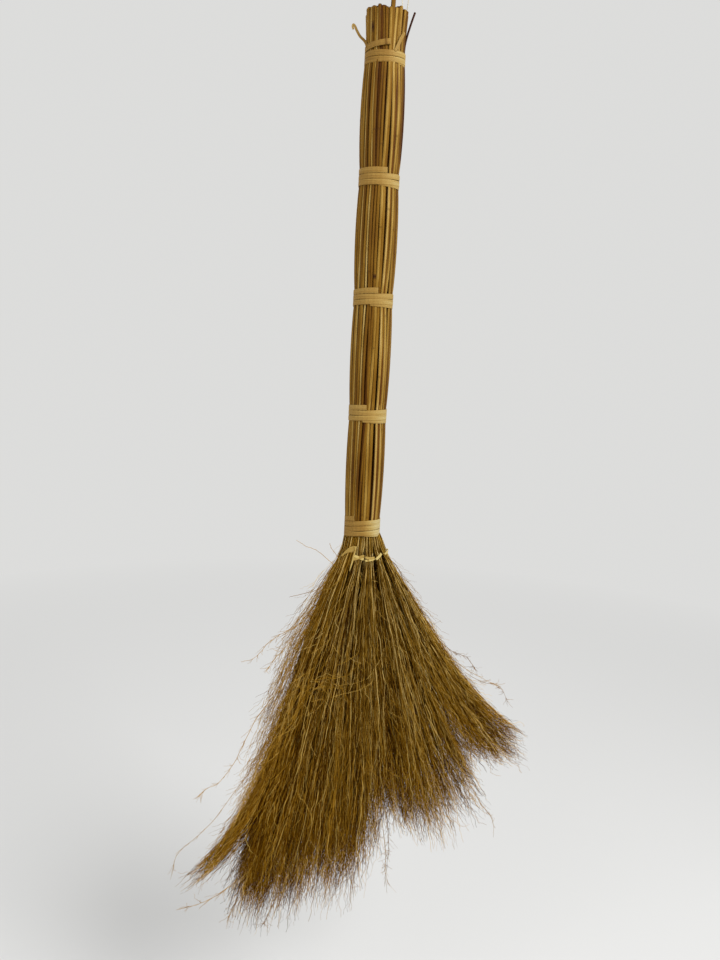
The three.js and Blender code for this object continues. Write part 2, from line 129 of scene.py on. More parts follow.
# %% A socket that can be added and multiplied
class Wire:
    """One output socket. Sums with numbers and other wires add Math nodes."""

    def __init__(self, sheet, socket):
        self.sheet = sheet
        self.socket = socket

    def _math(self, operation, first, second):
        return self.sheet.node("ShaderNodeMath", {"operation": operation}, {0: first, 1: second})

    def __add__(self, other):
        return self._math("ADD", self, other)

    def __sub__(self, other):
        return self._math("SUBTRACT", self, other)

    def __rsub__(self, other):
        return self._math("SUBTRACT", other, self)

    def __mul__(self, other):
        return self._math("MULTIPLY", self, other)

    __radd__ = __add__
    __rmul__ = __mul__

    def clamped(self):
        return self.sheet.node("ShaderNodeClamp", {}, {"Value": self})

    def mix(self, first, second):
        """A colour between first and second, by this wire."""
        inputs = {"Factor": self, 6: first, 7: second}
        return self.sheet.node("ShaderNodeMix", {"data_type": "RGBA"}, inputs, output=2)


# %% A sheet of nodes
class Sheet:
    """The nodes of one material or of the world."""

    def __init__(self, owner):
        owner.use_nodes = True
        self.tree = owner.node_tree

    def node(self, kind, settings, inputs, output=0):
        """One output of a new node, by its number or name. Settings come before sockets."""
        made = self.tree.nodes.new(kind)
        for name, value in settings.items():
            if name == "stops":
                self._set_stops(made.color_ramp.elements, value)
            else:
                setattr(made, name, value)
        self.feed(made, inputs)
        return Wire(self, made.outputs[output])

    def _set_stops(self, elements, stops):
        while len(elements) < len(stops):
            elements.new(1)
        for element, (place, *levels) in zip(elements, stops):
            element.position = place
            element.color = colour(*levels)

    def feed(self, node, inputs):
        """Gives sockets their wires or values. A socket goes by its name or its number."""
        for name, value in inputs.items():
            if isinstance(value, Wire):
                self.tree.links.new(value.socket, node.inputs[name])
            else:
                node.inputs[name].default_value = value

    def ramp(self, stops, factor):
        """A colour by a factor. A stop is a factor and the red, green and blue that belong to it."""
        return self.node("ShaderNodeValToRGB", {"stops": stops}, {"Fac": factor})

    def attribute(self, name):
        return self.node("ShaderNodeAttribute", {"attribute_name": name}, {}, "Fac")

    def noise_at(self, place, scale, detail, roughness=0.5):
        inputs = {"Vector": place, "Scale": scale, "Detail": detail, "Roughness": roughness}
        return self.node("ShaderNodeTexNoise", {}, inputs)

    def noise(self, stretch, detail, roughness=0.55):
        """Noise over the object's own coordinates, with stretch repeats in a metre along X, Y and Z."""
        place = self.node("ShaderNodeTexCoord", {}, {}, "Object")
        mapped = self.node("ShaderNodeMapping", {}, {"Vector": place, "Scale": stretch})
        return self.noise_at(mapped, 1.0, detail, roughness)

    def bump(self, strength, distance, height):
        inputs = {"Strength": strength, "Distance": distance, "Height": height}
        return self.node("ShaderNodeBump", {}, inputs)


def colour(red, green, blue):
    """A colour read off the photograph, from 0 to 255, as Blender's linear values."""
    shares = [value / 255 for value in (red, green, blue)]
    linear = [s / 12.92 if s <= 0.04045 else ((s + 0.055) / 1.055) ** 2.4 for s in shares]
    return (*linear, 1.0)


def finish_of(name, roughness, specular):
    """A new material with its node sheet and its shader."""
    material = bpy.data.materials.new(name)
    sheet = Sheet(material)
    shader = sheet.tree.nodes["Principled BSDF"]
    sheet.feed(shader, {"Roughness": roughness, "Specular IOR Level": specular})
    return material, sheet, shader


print("shader helpers ready")

# %% [markdown]
# ## Tubes by the thousand
#
# Stalks, twigs and cord are all tubes along a path. Curve objects could do it, but thousands of them are
# slow and can't carry a tone for each twig. So one function takes all the paths of a piece as one numpy
# array, puts a ring of points round each path point, and another joins the rings with faces. It also gives
# every tube its own patch in a UV map, so that the colours can be baked later.

# %% Rings round many paths at once
def unit(vectors):
    """The same vectors with a length of 1, and no division by nought."""
    return vectors / (np.linalg.norm(vectors, axis=-1, keepdims=True) + 1e-12)


def rings_round(paths, radii, sides, reference=(0.0, 1.0, 0.0)):
    """Points of shape tube, ring, side, xyz. radii has shape tube, ring or tube, ring, side."""
    along = unit(np.gradient(paths, axis=1))
    side = unit(np.cross(along, reference))
    front = np.cross(side, along)
    turns = np.linspace(0, 2 * np.pi, sides, endpoint=False)
    radii = radii[..., None] if radii.ndim == 2 else radii
    across = (radii * np.cos(turns))[..., None] * side[:, :, None, :]
    return paths[:, :, None, :] + across + (radii * np.sin(turns))[..., None] * front[:, :, None, :]


def add_mesh(name, points, faces, sizes, uvs, attributes, material):
    """An object from flat arrays: corner points, face corners, corners per face, UVs per corner."""
    mesh = bpy.data.meshes.new(name)
    mesh.vertices.add(len(points))
    mesh.vertices.foreach_set("co", points.astype(np.float32).ravel())
    mesh.loops.add(len(faces))
    mesh.loops.foreach_set("vertex_index", faces.astype(np.int32))
    mesh.polygons.add(len(sizes))
    mesh.polygons.foreach_set("loop_start", (np.cumsum(sizes) - sizes).astype(np.int32))
    mesh.polygons.foreach_set("use_smooth", sizes == 4)
    mesh.uv_layers.new(name="OFBake").data.foreach_set("uv", uvs.astype(np.float32).ravel())
    for label, values in attributes.items():
        made = mesh.attributes.new(label, "FLOAT", "POINT")
        made.data.foreach_set("value", values.astype(np.float32).ravel())
    mesh.update(calc_edges=True)
    mesh.validate()
    mesh.materials.append(material)
    piece = bpy.data.objects.new(name, mesh)
    bpy.context.scene.collection.objects.link(piece)
    return piece


# %% One piece from many tubes
UV_MARGIN = 0.12


def patches_of(count, length, sides):
    """UVs of every side face and then of every cap: each tube has its own cell of a square grid."""
    columns = math.ceil(math.sqrt(count))
    grid = (columns, math.ceil(count / columns))
    cell = np.stack([np.arange(count) % columns, np.arange(count) // columns], axis=-1)
    corners = np.array([(0, 0), (1, 0), (1, 1), (0, 1)])
    faces = np.stack(np.meshgrid(np.arange(sides), np.arange(length - 1)), axis=-1)
    patch = UV_MARGIN + (1 - 2 * UV_MARGIN) * (faces[:, :, None] + corners) / (sides, length - 1)
    side_uvs = (cell[:, None, None, None] + patch) / grid
    cap_uvs = np.repeat((cell + 0.5) / grid, sides, axis=0)
    return np.concatenate([side_uvs.reshape(-1, 2), cap_uvs, cap_uvs])


def add_tubes(name, nodes, rings, attributes, material):
    """One piece from rings of shape tube, ring, side, xyz. It takes one material and hides some nodes.

    attributes hold values by tube, by ring or by point.
    """
    count, length, sides, _ = rings.shape
    ids = np.arange(count * length * sides).reshape(count, length, sides)
    after = np.roll(ids, -1, axis=2)
    quads = np.stack([ids[:, :-1], after[:, :-1], after[:, 1:], ids[:, 1:]], axis=-1)
    faces = np.concatenate([quads.ravel(), ids[:, 0, ::-1].ravel(), ids[:, -1].ravel()])
    sizes = np.concatenate([np.full(quads.size // 4, 4), np.full(2 * count, sides)])
    spread = {}
    for label, values in attributes.items():
        by_point = np.reshape(values, np.shape(values) + (1,) * (3 - np.ndim(values)))
        spread[label] = np.broadcast_to(by_point, (count, length, sides))
    uvs = patches_of(count, length, sides)
    piece = add_mesh(name, rings.reshape(-1, 3), faces, sizes, uvs, spread, material)
    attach(piece, "root")
    if nodes:
        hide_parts(*nodes)
    print(name, count, "tubes", len(sizes), "faces")
    return piece


def smooth_path(points, steps):
    """A rounded path through a few points: a Catmull-Rom spline with steps points to each stretch."""
    points = np.asarray(points, float)
    padded = np.vstack([2 * points[0] - points[1], points, 2 * points[-1] - points[-2]])
    path = []
    for before, start, end, after in zip(padded, padded[1:], padded[2:], padded[3:]):
        for share in np.arange(steps) / steps:
            path.append(0.5 * (2 * start + (end - before) * share
                               + (2 * before - 5 * start + 4 * end - after) * share ** 2
                               + (3 * start - before - 3 * end + after) * share ** 3))
    return np.array([*path, points[-1]])


def evened_path(points, count):
    """A rounded path with a given number of points."""
    path = smooth_path(points, 12)
    return path[np.linspace(0, len(path) - 1, count).round().astype(int)]


print("tube helpers ready")

# %% [markdown]
# ## The hanging loop
#
# A thin cord goes over a hook above the picture and down among the stalks on both sides. Its route is the
# one that the solid follows. Two plies twist round each other, which a round section with two flattened
# sides gives when it turns along the path.

# %% Cord
CORD_DIAMETER = 1 * MM
CORD_PLY_TURN = 5 * MM
CORD_FLATNESS = 0.2
CORD_SIDES = 12
CORD_ROUTE = np.array([
    (-2.03, -3.11, -98), (-2.03, -3.11, -92), (-2.03, -3.11, -86), (-1.55, -3.11, -78),
    (-0.84, -3.11, -69), (-0.3, -3.11, -60), (0.23, -3.11, -50), (0.55, -4.1, -43),
    (0.8, -5.6, -34.5), (1, -7.1, -26), (1.1, -8.1, -18), (1.05, -7.9, -11),
    (0.8, -6.3, -5), (0.4, -3.5, -1.3), (0, 0, 0), (-0.5, 3.4, -1.3),
    (-1, 6.2, -5), (-1.3, 7.8, -11), (-1.35, 8, -18), (-1.2, 7, -26),
    (-1, 5.5, -34.5), (-0.8, 4, -43), (-0.7, 3.04, -50), (-1.2, 2.9, -60),
    (-1.72, 2.72, -69), (-2.4, 2.5, -78), (-2.86, 2.37, -86), (-2.86, 2.37, -92),
    (-2.86, 2.37, -98),
]) * MM

cord_path = smooth_path(CORD_ROUTE, 10)
cord_steps = np.linalg.norm(np.diff(cord_path, axis=0), axis=1)
cord_along = np.concatenate([[0], np.cumsum(cord_steps)])
cord_turns = np.linspace(0, 2 * np.pi, CORD_SIDES, endpoint=False)
ply_angle = cord_turns - (2 * np.pi * cord_along / CORD_PLY_TURN)[:, None]
cord_radii = CORD_DIAMETER / 2 * (1 - CORD_FLATNESS + CORD_FLATNESS * np.abs(np.cos(ply_angle)))
cord_rings = rings_round(cord_path[None], cord_radii[None], CORD_SIDES, (1.0, 0.0, 0.0))

# %% Cord's finish
cord_finish, sheet, shader = finish_of("pale twisted cord", roughness=0.9, specular=0.2)
fuzz = sheet.noise((2500, 2500, 900), detail=2)
sheet.feed(shader, {
    "Base Color": fuzz.mix(colour(178, 166, 140), colour(222, 214, 194)),
    "Normal": sheet.bump(strength=0.3, distance=0.2 * MM, height=fuzz),
})
cord = add_tubes("hanging_cord", ["hanging_loop"], cord_rings, {}, cord_finish)
print("cord", round(float(cord_along[-1]), 4), "m long")

# %% [markdown]
# ## Stalks of the handle
#
# The handle is nearly eighty bamboo shoots, no two alike: two to eight millimetres thick, tapering, with a
# slight swelling where a leaf once grew. They lie in rings. Where a binding draws them in they touch, and
# between bindings they bow out and wander sideways over their neighbours. So each stalk gets its own
# radius, its own angle at every binding, and a smooth curve through them.

# %% Rings of stalks
rng = np.random.default_rng(11)
HANDLE_RADII = (19.8 * MM, 20.3 * MM, 20.3 * MM, 19.8 * MM, 19.0 * MM)
HANDLE_BOWS = (2.1 * MM, 1.5 * MM, 1.2 * MM, 1.1 * MM)
STALK_FOOT = BINDING_LEVELS[-1]
HELD_HALF = 6 * MM
BOW_FLATNESS = 0.65
HIGHEST_ABOVE = 1.6


def by_level(z, levels, values):
    """Values that are given at some levels, from the top down, and run evenly between them."""
    return np.interp(-z, -np.array(levels), values)


def between_bindings(z, heights=(1, 1, 1, 1)):
    """0 where a binding holds the stalks, and up to a height midway between two bindings."""
    loose = np.zeros_like(z)
    for above, below, height in zip(BINDING_LEVELS, BINDING_LEVELS[1:], heights):
        high, low = above - HELD_HALF, below + HELD_HALF
        share = np.clip((high - z) / (high - low), 0, 1)
        loose += height * np.sin(np.pi * share) ** BOW_FLATNESS
    return loose


def handle_radius(z):
    """The handle's radius: each binding draws it in a little differently, and it bows out between them."""
    return by_level(z, BINDING_LEVELS, HANDLE_RADII) + between_bindings(z, HANDLE_BOWS)


def above_top_binding(z):
    """0 at the top binding, and 1 at the usual top of the stalks."""
    start = BINDING_LEVELS[0] + HELD_HALF
    return np.clip((z - start) / (TOP - start), 0, HIGHEST_ABOVE)


print("handle's widest radius", round(float(handle_radius(np.linspace(STALK_FOOT, TOP, 500)).max()), 4))

# %% One stalk
STALK_SIDES = 12
STALK_STEP = 6 * MM
STALK_WANDER = 0.34
STALK_SWING = 0.25
STALK_TAPER = 0.06
SPLAY_POWER = 1.3
LOOSE_LENGTH = 20 * MM
JOINTS = 5
JOINT_SPACING = (0.1, 0.3)
LOWEST_JOINT = STALK_FOOT + 4 * MM
JOINT_HALF = 1.5 * MM
JOINT_DARKNESS = 0.35
JOINT_SWELLING = 0.09
MARK_SHARES = (-1.05, -0.6, 0, 0.6, 1.05)
BEVEL = 0.25 * MM
HOLLOW_DEPTH = 1.2 * MM
HOLLOW_SLOPE = 0.3
END_SHARES = np.array([0.3, 0.9, 1.0])


def stalk_rings(distance, angle, angle_step, diameter, top, lift, splay, wander=STALK_WANDER, scars=()):
    """The path of one stalk from the top down, its radius, and how near it is to a joint or a scar.

    distance is a share of the handle's radius, and lift is what this stalk stands proud between bindings.
    A scar is a level, half the length of the dark mark there, and its darkness.
    """
    joints = top - np.cumsum(rng.uniform(*JOINT_SPACING, JOINTS))
    marks = [(joint, JOINT_HALF, JOINT_DARKNESS) for joint in joints if joint > LOWEST_JOINT]
    marks += scars
    extra = [level + share * half for level, half, _ in marks for share in MARK_SHARES]
    z = np.sort(np.concatenate([np.arange(top, STALK_FOOT, -STALK_STEP), extra, [STALK_FOOT]]))[::-1]
    nearness = np.zeros_like(z)
    for level, half, darkness in marks:
        nearness = np.maximum(nearness, darkness * np.clip(1 - np.abs(z - level) / half, 0, 1) ** 0.5)
    knots = [TOP + LOOSE_LENGTH, *BINDING_LEVELS]
    turned = angle + by_level(z, knots, angle_step * wander * rng.uniform(-1, 1, len(knots)))
    turned += angle_step * STALK_SWING * rng.uniform(-1, 1) * between_bindings(z)
    out = distance * handle_radius(z) + lift * between_bindings(z)
    out += splay * above_top_binding(z) ** SPLAY_POWER
    taper = 1 + STALK_TAPER * (z - STALK_FOOT) / (TOP - STALK_FOOT)
    return around(out, turned, z), diameter / 2 * taper * (1 + JOINT_SWELLING * nearness), nearness


def flat_end(path, radius, nearness):
    """The same stalk with a cut end: the dark hollow inside, the rim of the cut, and a bevel."""
    first, down = path[0], unit(path[1] - path[0])
    hollow = HOLLOW_DEPTH + abs(rng.uniform(-HOLLOW_SLOPE, HOLLOW_SLOPE) * radius[0])
    path = np.vstack([first + down * hollow, first, first + down * BEVEL, path[1:]])
    radius = np.concatenate([radius[0] * END_SHARES, radius[1:]])
    nearness = np.concatenate([np.zeros(3), nearness[1:]])
    cut = np.concatenate([[1, 1, 0], np.zeros(len(path) - 3)])
    return path, radius, nearness, cut


print("rings in a plain stalk", math.ceil((TOP - STALK_FOOT) / STALK_STEP))

# %% [markdown]
# ## What bamboo shoots look like
#
# Dried shoots are straw to honey brown, with long faint streaks, darker blotches, a dark line at each
# joint, and a soft shine that runs down their length. The tone comes from an attribute that each stalk
# carries, and the streaks from noise that is drawn out along the handle. The flanks that face the inside
# of the bundle get painted shade, so each point also knows how far it is turned inward. Stalks that lie
# inside the bundle are somewhat redder and darker, partly because they never bleached and partly as
# painted shade for the gaps between the outer stalks.

# %% Stalk finish
def stalk_finish_of(name, stops):
    material, sheet, shader = finish_of(name, roughness=0.55, specular=0.1)
    streaks = sheet.noise((900, 900, 9), detail=4, roughness=0.6)
    blotches = sheet.noise((60, 60, 22), detail=3, roughness=0.5)
    shade = (sheet.attribute("tone") + (streaks - 0.5) * 0.8 + (blotches - 0.5) * 0.6).clamped()
    darkened = (sheet.attribute("joint") * 0.95).mix(sheet.ramp(stops, shade), colour(48, 20, 2))
    ended = (sheet.attribute("cut") * 0.8).mix(darkened, colour(96, 66, 26))
    # Painted shade: the flanks that face the inside of the bundle are darkened.
    painted_flank_shade = ((sheet.attribute("inward") - 0.06) * 2.3).clamped().mix(ended, colour(50, 21, 0))
    sheet.feed(shader, {
        "Base Color": painted_flank_shade,
        "Roughness": 0.5 + streaks * 0.2,
        "Normal": sheet.bump(strength=0.7, distance=0.6 * MM, height=streaks),
    })
    return material


STALK_STOPS = (
    # shade, and its red, green and blue
    (0.0, 70, 36, 0), (0.3, 106, 70, 7), (0.55, 131, 94, 24), (0.8, 164, 130, 60), (1.0, 192, 163, 100),
)
stalk_finish = stalk_finish_of("dried bamboo shoot", STALK_STOPS)
# Stalks inside the bundle: redder and darker, partly as painted shade in the gaps between outer stalks.
shaded_stalk_finish = stalk_finish_of(
    "bamboo shoot inside the bundle with painted shade", ((0.0, 48, 16, 0), (0.5, 92, 52, 6), (1.0, 136, 98, 38)))
dark_stalk_finish = stalk_finish_of(
    "dark red bamboo shoot", ((0.0, 38, 12, 6), (0.6, 78, 32, 18), (1.0, 104, 52, 30)))
print("stalk finishes ready")


# %% A piece from stalks of different lengths
PADDING_STEP = 0.02 * MM


def add_stalks(name, nodes, stalks, material):
    """One piece of stalks. Those with fewer rings get the rest of them close together under their foot."""
    length = max(len(path) for path, *_ in stalks)
    columns = []
    for path, radius, nearness, cut, tone in stalks:
        pad = length - len(path)
        path = np.vstack([path, path[-1] - np.outer(np.arange(1, pad + 1), [0, 0, PADDING_STEP])])
        radius, nearness, cut = (np.pad(values, (0, pad), "edge") for values in (radius, nearness, cut))
        ring = rings_round(path[None], radius[None], STALK_SIDES)[0]
        away = unit(path[:, None, :2] - AXIS[:2])
        side = unit(ring[..., :2] - path[:, None, :2])
        columns.append((ring, tone, nearness, cut, 0.5 - 0.5 * (away * side).sum(axis=2)))
    rings, *values = (np.array(column) for column in zip(*columns))
    attributes = dict(zip(("tone", "joint", "cut", "inward"), values))
    add_tubes(name, nodes, rings, attributes, material)


def nodes_named(*starts):
    return [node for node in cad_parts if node.startswith(starts)]


# %% Stalks of the outer ring
PALE_SHARE = 1 / 6
PALE_TONES = (0.72, 0.86)
MIDDLING_TONES = (0.15, 0.7)
STALK_RINGS = (
    # share of the handle's radius, number of stalks, splay at the top
    (0.925, 41, 2.2 * MM),
    (0.79, 19, 1.7 * MM),
    (0.52, 11, 0.8 * MM),
    (0.26, 5, 0.4 * MM),
    (0.02, 1, 0.0),
)
CORE_PITCH = 4 * MM
THIN_SHARE = 0.4
THIN_SIZES = (0.6, 0.85)
THICK_SIZES = (1.0, 1.35)
THIN_OVERLAP = 1.2
THICK_OVERLAP = 1.06
SPLAY_CHANCE = (0.6, 1.1)
LIFT_CHANCE = (-0.4 * MM, 0.24 * MM)
WANDERER_SHARE = 0.16
WANDERER_LIFT = 0.7 * MM
TOP_SPREAD = 4 * MM
HIGHEST_TOP = TOP + 1 * MM
SCARS = (
    # angle, level, half the length of the mark, darkness
    (-154, TOP - 19 * MM, 6 * MM, 1.0),
    (-108, BINDING_LEVELS[2] + 21 * MM, 3 * MM, 1.0),
)
# Angle, and tone of the stalk there
SEEN_TONES = ((-165, 0.82), (-137, 0.84), (-127, 0.27), (-106, 0.4), (-87, 0.8), (-60, 0.74))


def nearest(angles, degrees):
    """Which of some angles lies nearest to one given in degrees."""
    return int(np.cos(angles - math.radians(degrees)).argmax())


def stalk_tone():
    """Most stalks are middling, and one in six is pale."""
    if rng.uniform() < PALE_SHARE:
        return rng.uniform(*PALE_TONES)
    return float(np.clip(rng.normal(0.46, 0.12), *MIDDLING_TONES))


def ring_of_stalks(distance, count, splay, scars=(), seen_tones=()):
    """One ring of the bundle, with thick and thin stalks that fill the circle between them.

    Each scar and each seen tone goes on the stalk nearest to its angle.
    """
    thin = rng.uniform(0, 1, count) < THIN_SHARE
    sizes = np.where(thin, rng.uniform(*THIN_SIZES, count), rng.uniform(*THICK_SIZES, count))
    sizes *= count / sizes.sum()
    angles = 2 * np.pi * (np.cumsum(sizes) - sizes / 2) / count
    scarred = {nearest(angles, angle): [mark] for angle, *mark in scars}
    toned = {nearest(angles, angle): tone for angle, tone in seen_tones}
    pitch = 2 * np.pi * distance * HANDLE_RADII[0] / count if count > 1 else CORE_PITCH
    stalks = []
    for index, (size, angle) in enumerate(zip(sizes, angles)):
        diameter = pitch * size * (THIN_OVERLAP if size < 1 else THICK_OVERLAP)
        top = HIGHEST_TOP - TOP_SPREAD * rng.uniform(0, 1) ** 1.5
        reach = min(distance, 1 - diameter / 2 / HANDLE_RADII[0])
        wander, lift = STALK_WANDER, rng.uniform(*LIFT_CHANCE)
        leaning = splay * rng.uniform(*SPLAY_CHANCE)
        if count > 6 and rng.uniform() < WANDERER_SHARE:
            wander, lift = 3 * STALK_WANDER, WANDERER_LIFT
        marks = scarred.get(index, [])
        made = stalk_rings(reach, angle, 2 * np.pi / count, diameter, top, lift, leaning, wander, marks)
        own_tone = stalk_tone()
        stalks.append((*flat_end(*made), toned.get(index, own_tone)))
    return stalks


outer = ring_of_stalks(*STALK_RINGS[0], SCARS, SEEN_TONES)
add_stalks("outer_stalks", nodes_named("outer_stalk_"), outer, stalk_finish)

# %% Stalks further in
inside = [stalk for ring in STALK_RINGS[1:] for stalk in ring_of_stalks(*ring)]
inside_nodes = nodes_named("middle_stalk", "inner_stalk", "core_stalk")
add_stalks("inside_stalks", inside_nodes, inside, shaded_stalk_finish)
print("inside stalks", len(inside), "for", len(inside_nodes), "nodes")

# %% [markdown]
# Two stalks stand out. One rises above the rest, and one thin dark one springs away at the top right. Both
# follow their own solids, so that a cap or a hook set against the solid also meets the picture. The dark
# one is lost among its neighbours from the second binding down.

# %% The tallest stalk and the splayed one
DRAWN_IN_OVER = 20 * MM


def angle_of(node, level):
    """The angle round the axis of the mean of a node's corners near a level."""
    corners = np.array([vertex.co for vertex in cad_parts[node].data.vertices])
    near = corners[np.abs(corners[:, 2] - level) < 6 * MM].mean(axis=0)
    return math.atan2(near[1] - AXIS[1], near[0] - AXIS[0])


def add_lone_stalk(name, node, material, tone, rise, kept, distance, step, diameter, lift, splay):
    """A stalk that follows its own solid. It can rise above it, and be drawn in at the second binding."""
    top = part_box(node)[1][2]
    made = stalk_rings(distance, angle_of(node, top), step, diameter, top + rise, lift, splay)
    path = made[0]
    share = by_level(path[:, 2], (BINDING_LEVELS[1] + DRAWN_IN_OVER, BINDING_LEVELS[1]), (1, kept))
    path[:, :2] = AXIS[:2] + (path[:, :2] - AXIS[:2]) * share[:, None]
    add_stalks(name, [node], [(*flat_end(*made), tone)], material)
    print(node, "reaches", round(top, 4))


add_lone_stalk("tallest_cane", "tallest_stalk", stalk_finish, tone=0.45, rise=0, kept=1,
               distance=0.88, step=0.05, diameter=4.4 * MM, lift=0.4 * MM, splay=1.8 * MM)
add_lone_stalk("dark_splayed_cane", "splayed_stalk", dark_stalk_finish, tone=0.3, rise=5 * MM,
               kept=0.84, distance=0.96, step=0.02, diameter=2 * MM, lift=0.2 * MM, splay=8.6 * MM)

# %% [markdown]
# ## Bindings of split cane
#
# Each binding is one strip, split from a cane, wound three or four times and tucked in. A strip has a
# nearly flat section with rounded edges, long fibres, and lies so close to the next turn that only a dark
# line parts them. The strip climbs as it turns, and the ends are cut square. The turns and the end angles
# are those of the solids.

# %% A strip along a path
STRIP_CORNERS = np.array([
    (-0.5, -0.2), (-0.46, -0.46), (-0.3, -0.5), (0, -0.5), (0.3, -0.5), (0.46, -0.46), (0.5, -0.2),
    (0.5, 0.25), (0.46, 0.44), (0.3, 0.53), (0, 0.58), (-0.3, 0.53), (-0.46, 0.44), (-0.5, 0.25),
])


def strip_rings(path, outward, widths, thickness):
    """Rings of a strip. outward is the way that its face looks at each point of the path."""
    along = np.gradient(path, axis=0)
    upright = unit(np.cross(along, outward))
    outward = unit(np.cross(upright, along))
    across = STRIP_CORNERS[:, :1] * np.broadcast_to(widths, len(path))[:, None, None] * upright[:, None]
    return path[:, None] + across + STRIP_CORNERS[:, 1:] * thickness * outward[:, None]


def add_strips(name, nodes, strips, tones, material):
    """One piece from strips with the same number of rings. tones hold a value a strip, or a value a ring.

    The fibres run by two more attributes: the way along a strip, and the place across it.
    """
    rings = np.array(strips)
    middles = rings.mean(axis=2)
    steps = np.linalg.norm(np.diff(middles, axis=1, prepend=middles[:, :1]), axis=2)
    across = STRIP_CORNERS[None, None, :, 0]
    attributes = {"tone": tones, "along": np.cumsum(steps, axis=1), "across": across}
    add_tubes(name, nodes, rings, attributes, material)


# %% Split cane's finish
def cane_finish_of(name, stops):
    material, sheet, shader = finish_of(name, roughness=0.5, specular=0.25)
    across, along, tone = (sheet.attribute(label) for label in ("across", "along", "tone"))
    place = sheet.node("ShaderNodeCombineXYZ", {}, {"X": across * 9, "Y": along * 28, "Z": 3.0})
    fibres = sheet.noise_at(place, scale=1.0, detail=5, roughness=0.65)
    stains = sheet.noise_at(place, scale=0.35, detail=2)
    shade = (tone + (fibres - 0.5) * 0.7 + (stains - 0.5) * 0.5).clamped()
    sheet.feed(shader, {
        "Base Color": sheet.ramp(stops, shade),
        "Roughness": 0.7 + fibres * 0.2 - tone * 0.35,
        "Normal": sheet.bump(strength=0.7, distance=0.2 * MM, height=fibres),
    })
    return material


CANE_STOPS = (
    (0.0, 98, 66, 14), (0.3, 142, 106, 42), (0.55, 165, 134, 68), (0.8, 184, 164, 108), (1.0, 204, 194, 154),
)
TWINE_STOPS = ((0.0, 120, 88, 28), (0.4, 160, 128, 58), (0.7, 190, 164, 92), (1.0, 216, 198, 132))
cane_finish = cane_finish_of("split cane", CANE_STOPS)
twine_finish = cane_finish_of("twining cane", TWINE_STOPS)
print("cane finishes ready")

# %% [markdown]
# The lowest turn of a binding starts under the turn above it, so that only its lower edge peeps out, and
# the cane sags a little where it crosses the front of the bundle. The right sides are painted paler, as a
# painted highlight where the room's light falls on them.

# %% Wound strips
STRIP_WIDTH = 5.5 * MM
STRIP_THICKNESS = 0.6 * MM
TURN_PITCH = 5.75 * MM
STEPS_PER_TURN = 110
FRONT_ANGLE = -112
TUCK_TURN = 170
TUCK_DEPTH = 0.3 * MM
END_GAP = 0.5 * MM
STALK_BUMPS = 27
BUMP_HEIGHT = 0.14 * MM
CREASE_TURN = 12
CREASE_WIDTH = 1.8
CREASE_HEIGHT = 0.35 * MM
# Painted shade: the tone is darkened in the crease where the loose end folds out.
CREASE_PAINTED_SHADE = 0.5
LONG_WAVER, SHORT_WAVER = 0.12 * MM, 0.1 * MM
WIDTH_WAVER = 0.03
LIFT_POWER = 1.2
WINDINGS = (
    # turns, angle of the upper end, degrees over which that end comes loose,
    # millimetres: lift of the loose end, drop below the solid's middle, sag at the front, rise to the right,
    # rise of the tucked start; tones left and right, where the paler right is a painted highlight
    (2.92, -98, 105, (4.6, 2.6, 2.9, -0.8, 5.0), (0.26, 0.56)),
    (3.06, -89, 1, (0, 1.6, 2.1, -0.6, 4.8), (0.32, 0.58)),
    (3.06, -98, 1, (0, 1.4, 0.3, 0, 4.2), (0.36, 0.54)),
    (3.03, -115, 1, (0, 1.1, 0, 0, 4.0), (0.4, 0.64)),
    (3.91, -138, 1, (0, -0.2, -2.0, 0.9, 4.8), (0.3, 0.78)),
)


def wound_strip(node, level, radius, turns, end_angle, loose_turn, lengths, tones_with_painted_highlight):
    lift, drop, sag, tilt, tuck_rise = np.array(lengths) * MM
    left = turns * (1 - np.linspace(0, 1, round(turns * STEPS_PER_TURN) + 1))
    angle = np.radians(end_angle - 360 * left)
    rightness = np.sin(angle - math.radians(FRONT_ANGLE))
    frontness = np.clip(np.cos(angle - math.radians(FRONT_ANGLE)), 0, 1)
    loose = np.clip(1 - 360 * left / loose_turn, 0, 1)
    tucked = np.clip(1 - 360 * (turns - left) / TUCK_TURN, 0, 1)
    crease = np.exp(-((360 * left - CREASE_TURN) / CREASE_WIDTH) ** 2) * (lift > 0)

    phase = level * 90
    waver = LONG_WAVER * np.sin(left * 9 + phase) + SHORT_WAVER * np.sin(left * 23)
    height = level - lift / 2 - drop - sag * frontness + TURN_PITCH * (turns / 2 - left)
    height = height + lift * loose ** LIFT_POWER + tuck_rise * tucked + tilt * rightness + waver
    out = radius + STRIP_THICKNESS / 2 + BUMP_HEIGHT * np.sin(angle * STALK_BUMPS + phase)
    out = out + TUCK_DEPTH * (1 - tucked ** 0.5) + END_GAP * loose + CREASE_HEIGHT * crease
    path = around(out, angle, height)
    widths = STRIP_WIDTH * (1 + WIDTH_WAVER * np.sin(left * 13 + phase))
    rings = strip_rings(path, (path - AXIS) * [1, 1, 0], widths, STRIP_THICKNESS)
    # Painted highlight: the right side of each binding is paler, where the lamp's light falls.
    tones = np.interp(rightness * 1.4 - 0.1, [0, 1], tones_with_painted_highlight) - CREASE_PAINTED_SHADE * crease
    name = node.replace("binding", "strip")
    add_strips(name, [node], [rings], tones[None], cane_finish)


for node, level, radius, winding in zip(BINDING_NODES, BINDING_LEVELS, HANDLE_RADII, WINDINGS):
    wound_strip(node, level, radius, *winding)

# %% [markdown]
# The top binding was finished by hand: the cane's two ends stick out of it. A narrow one curls up to the
# left, with a hooked tip, and a flat one leans up to the right over the stalks.

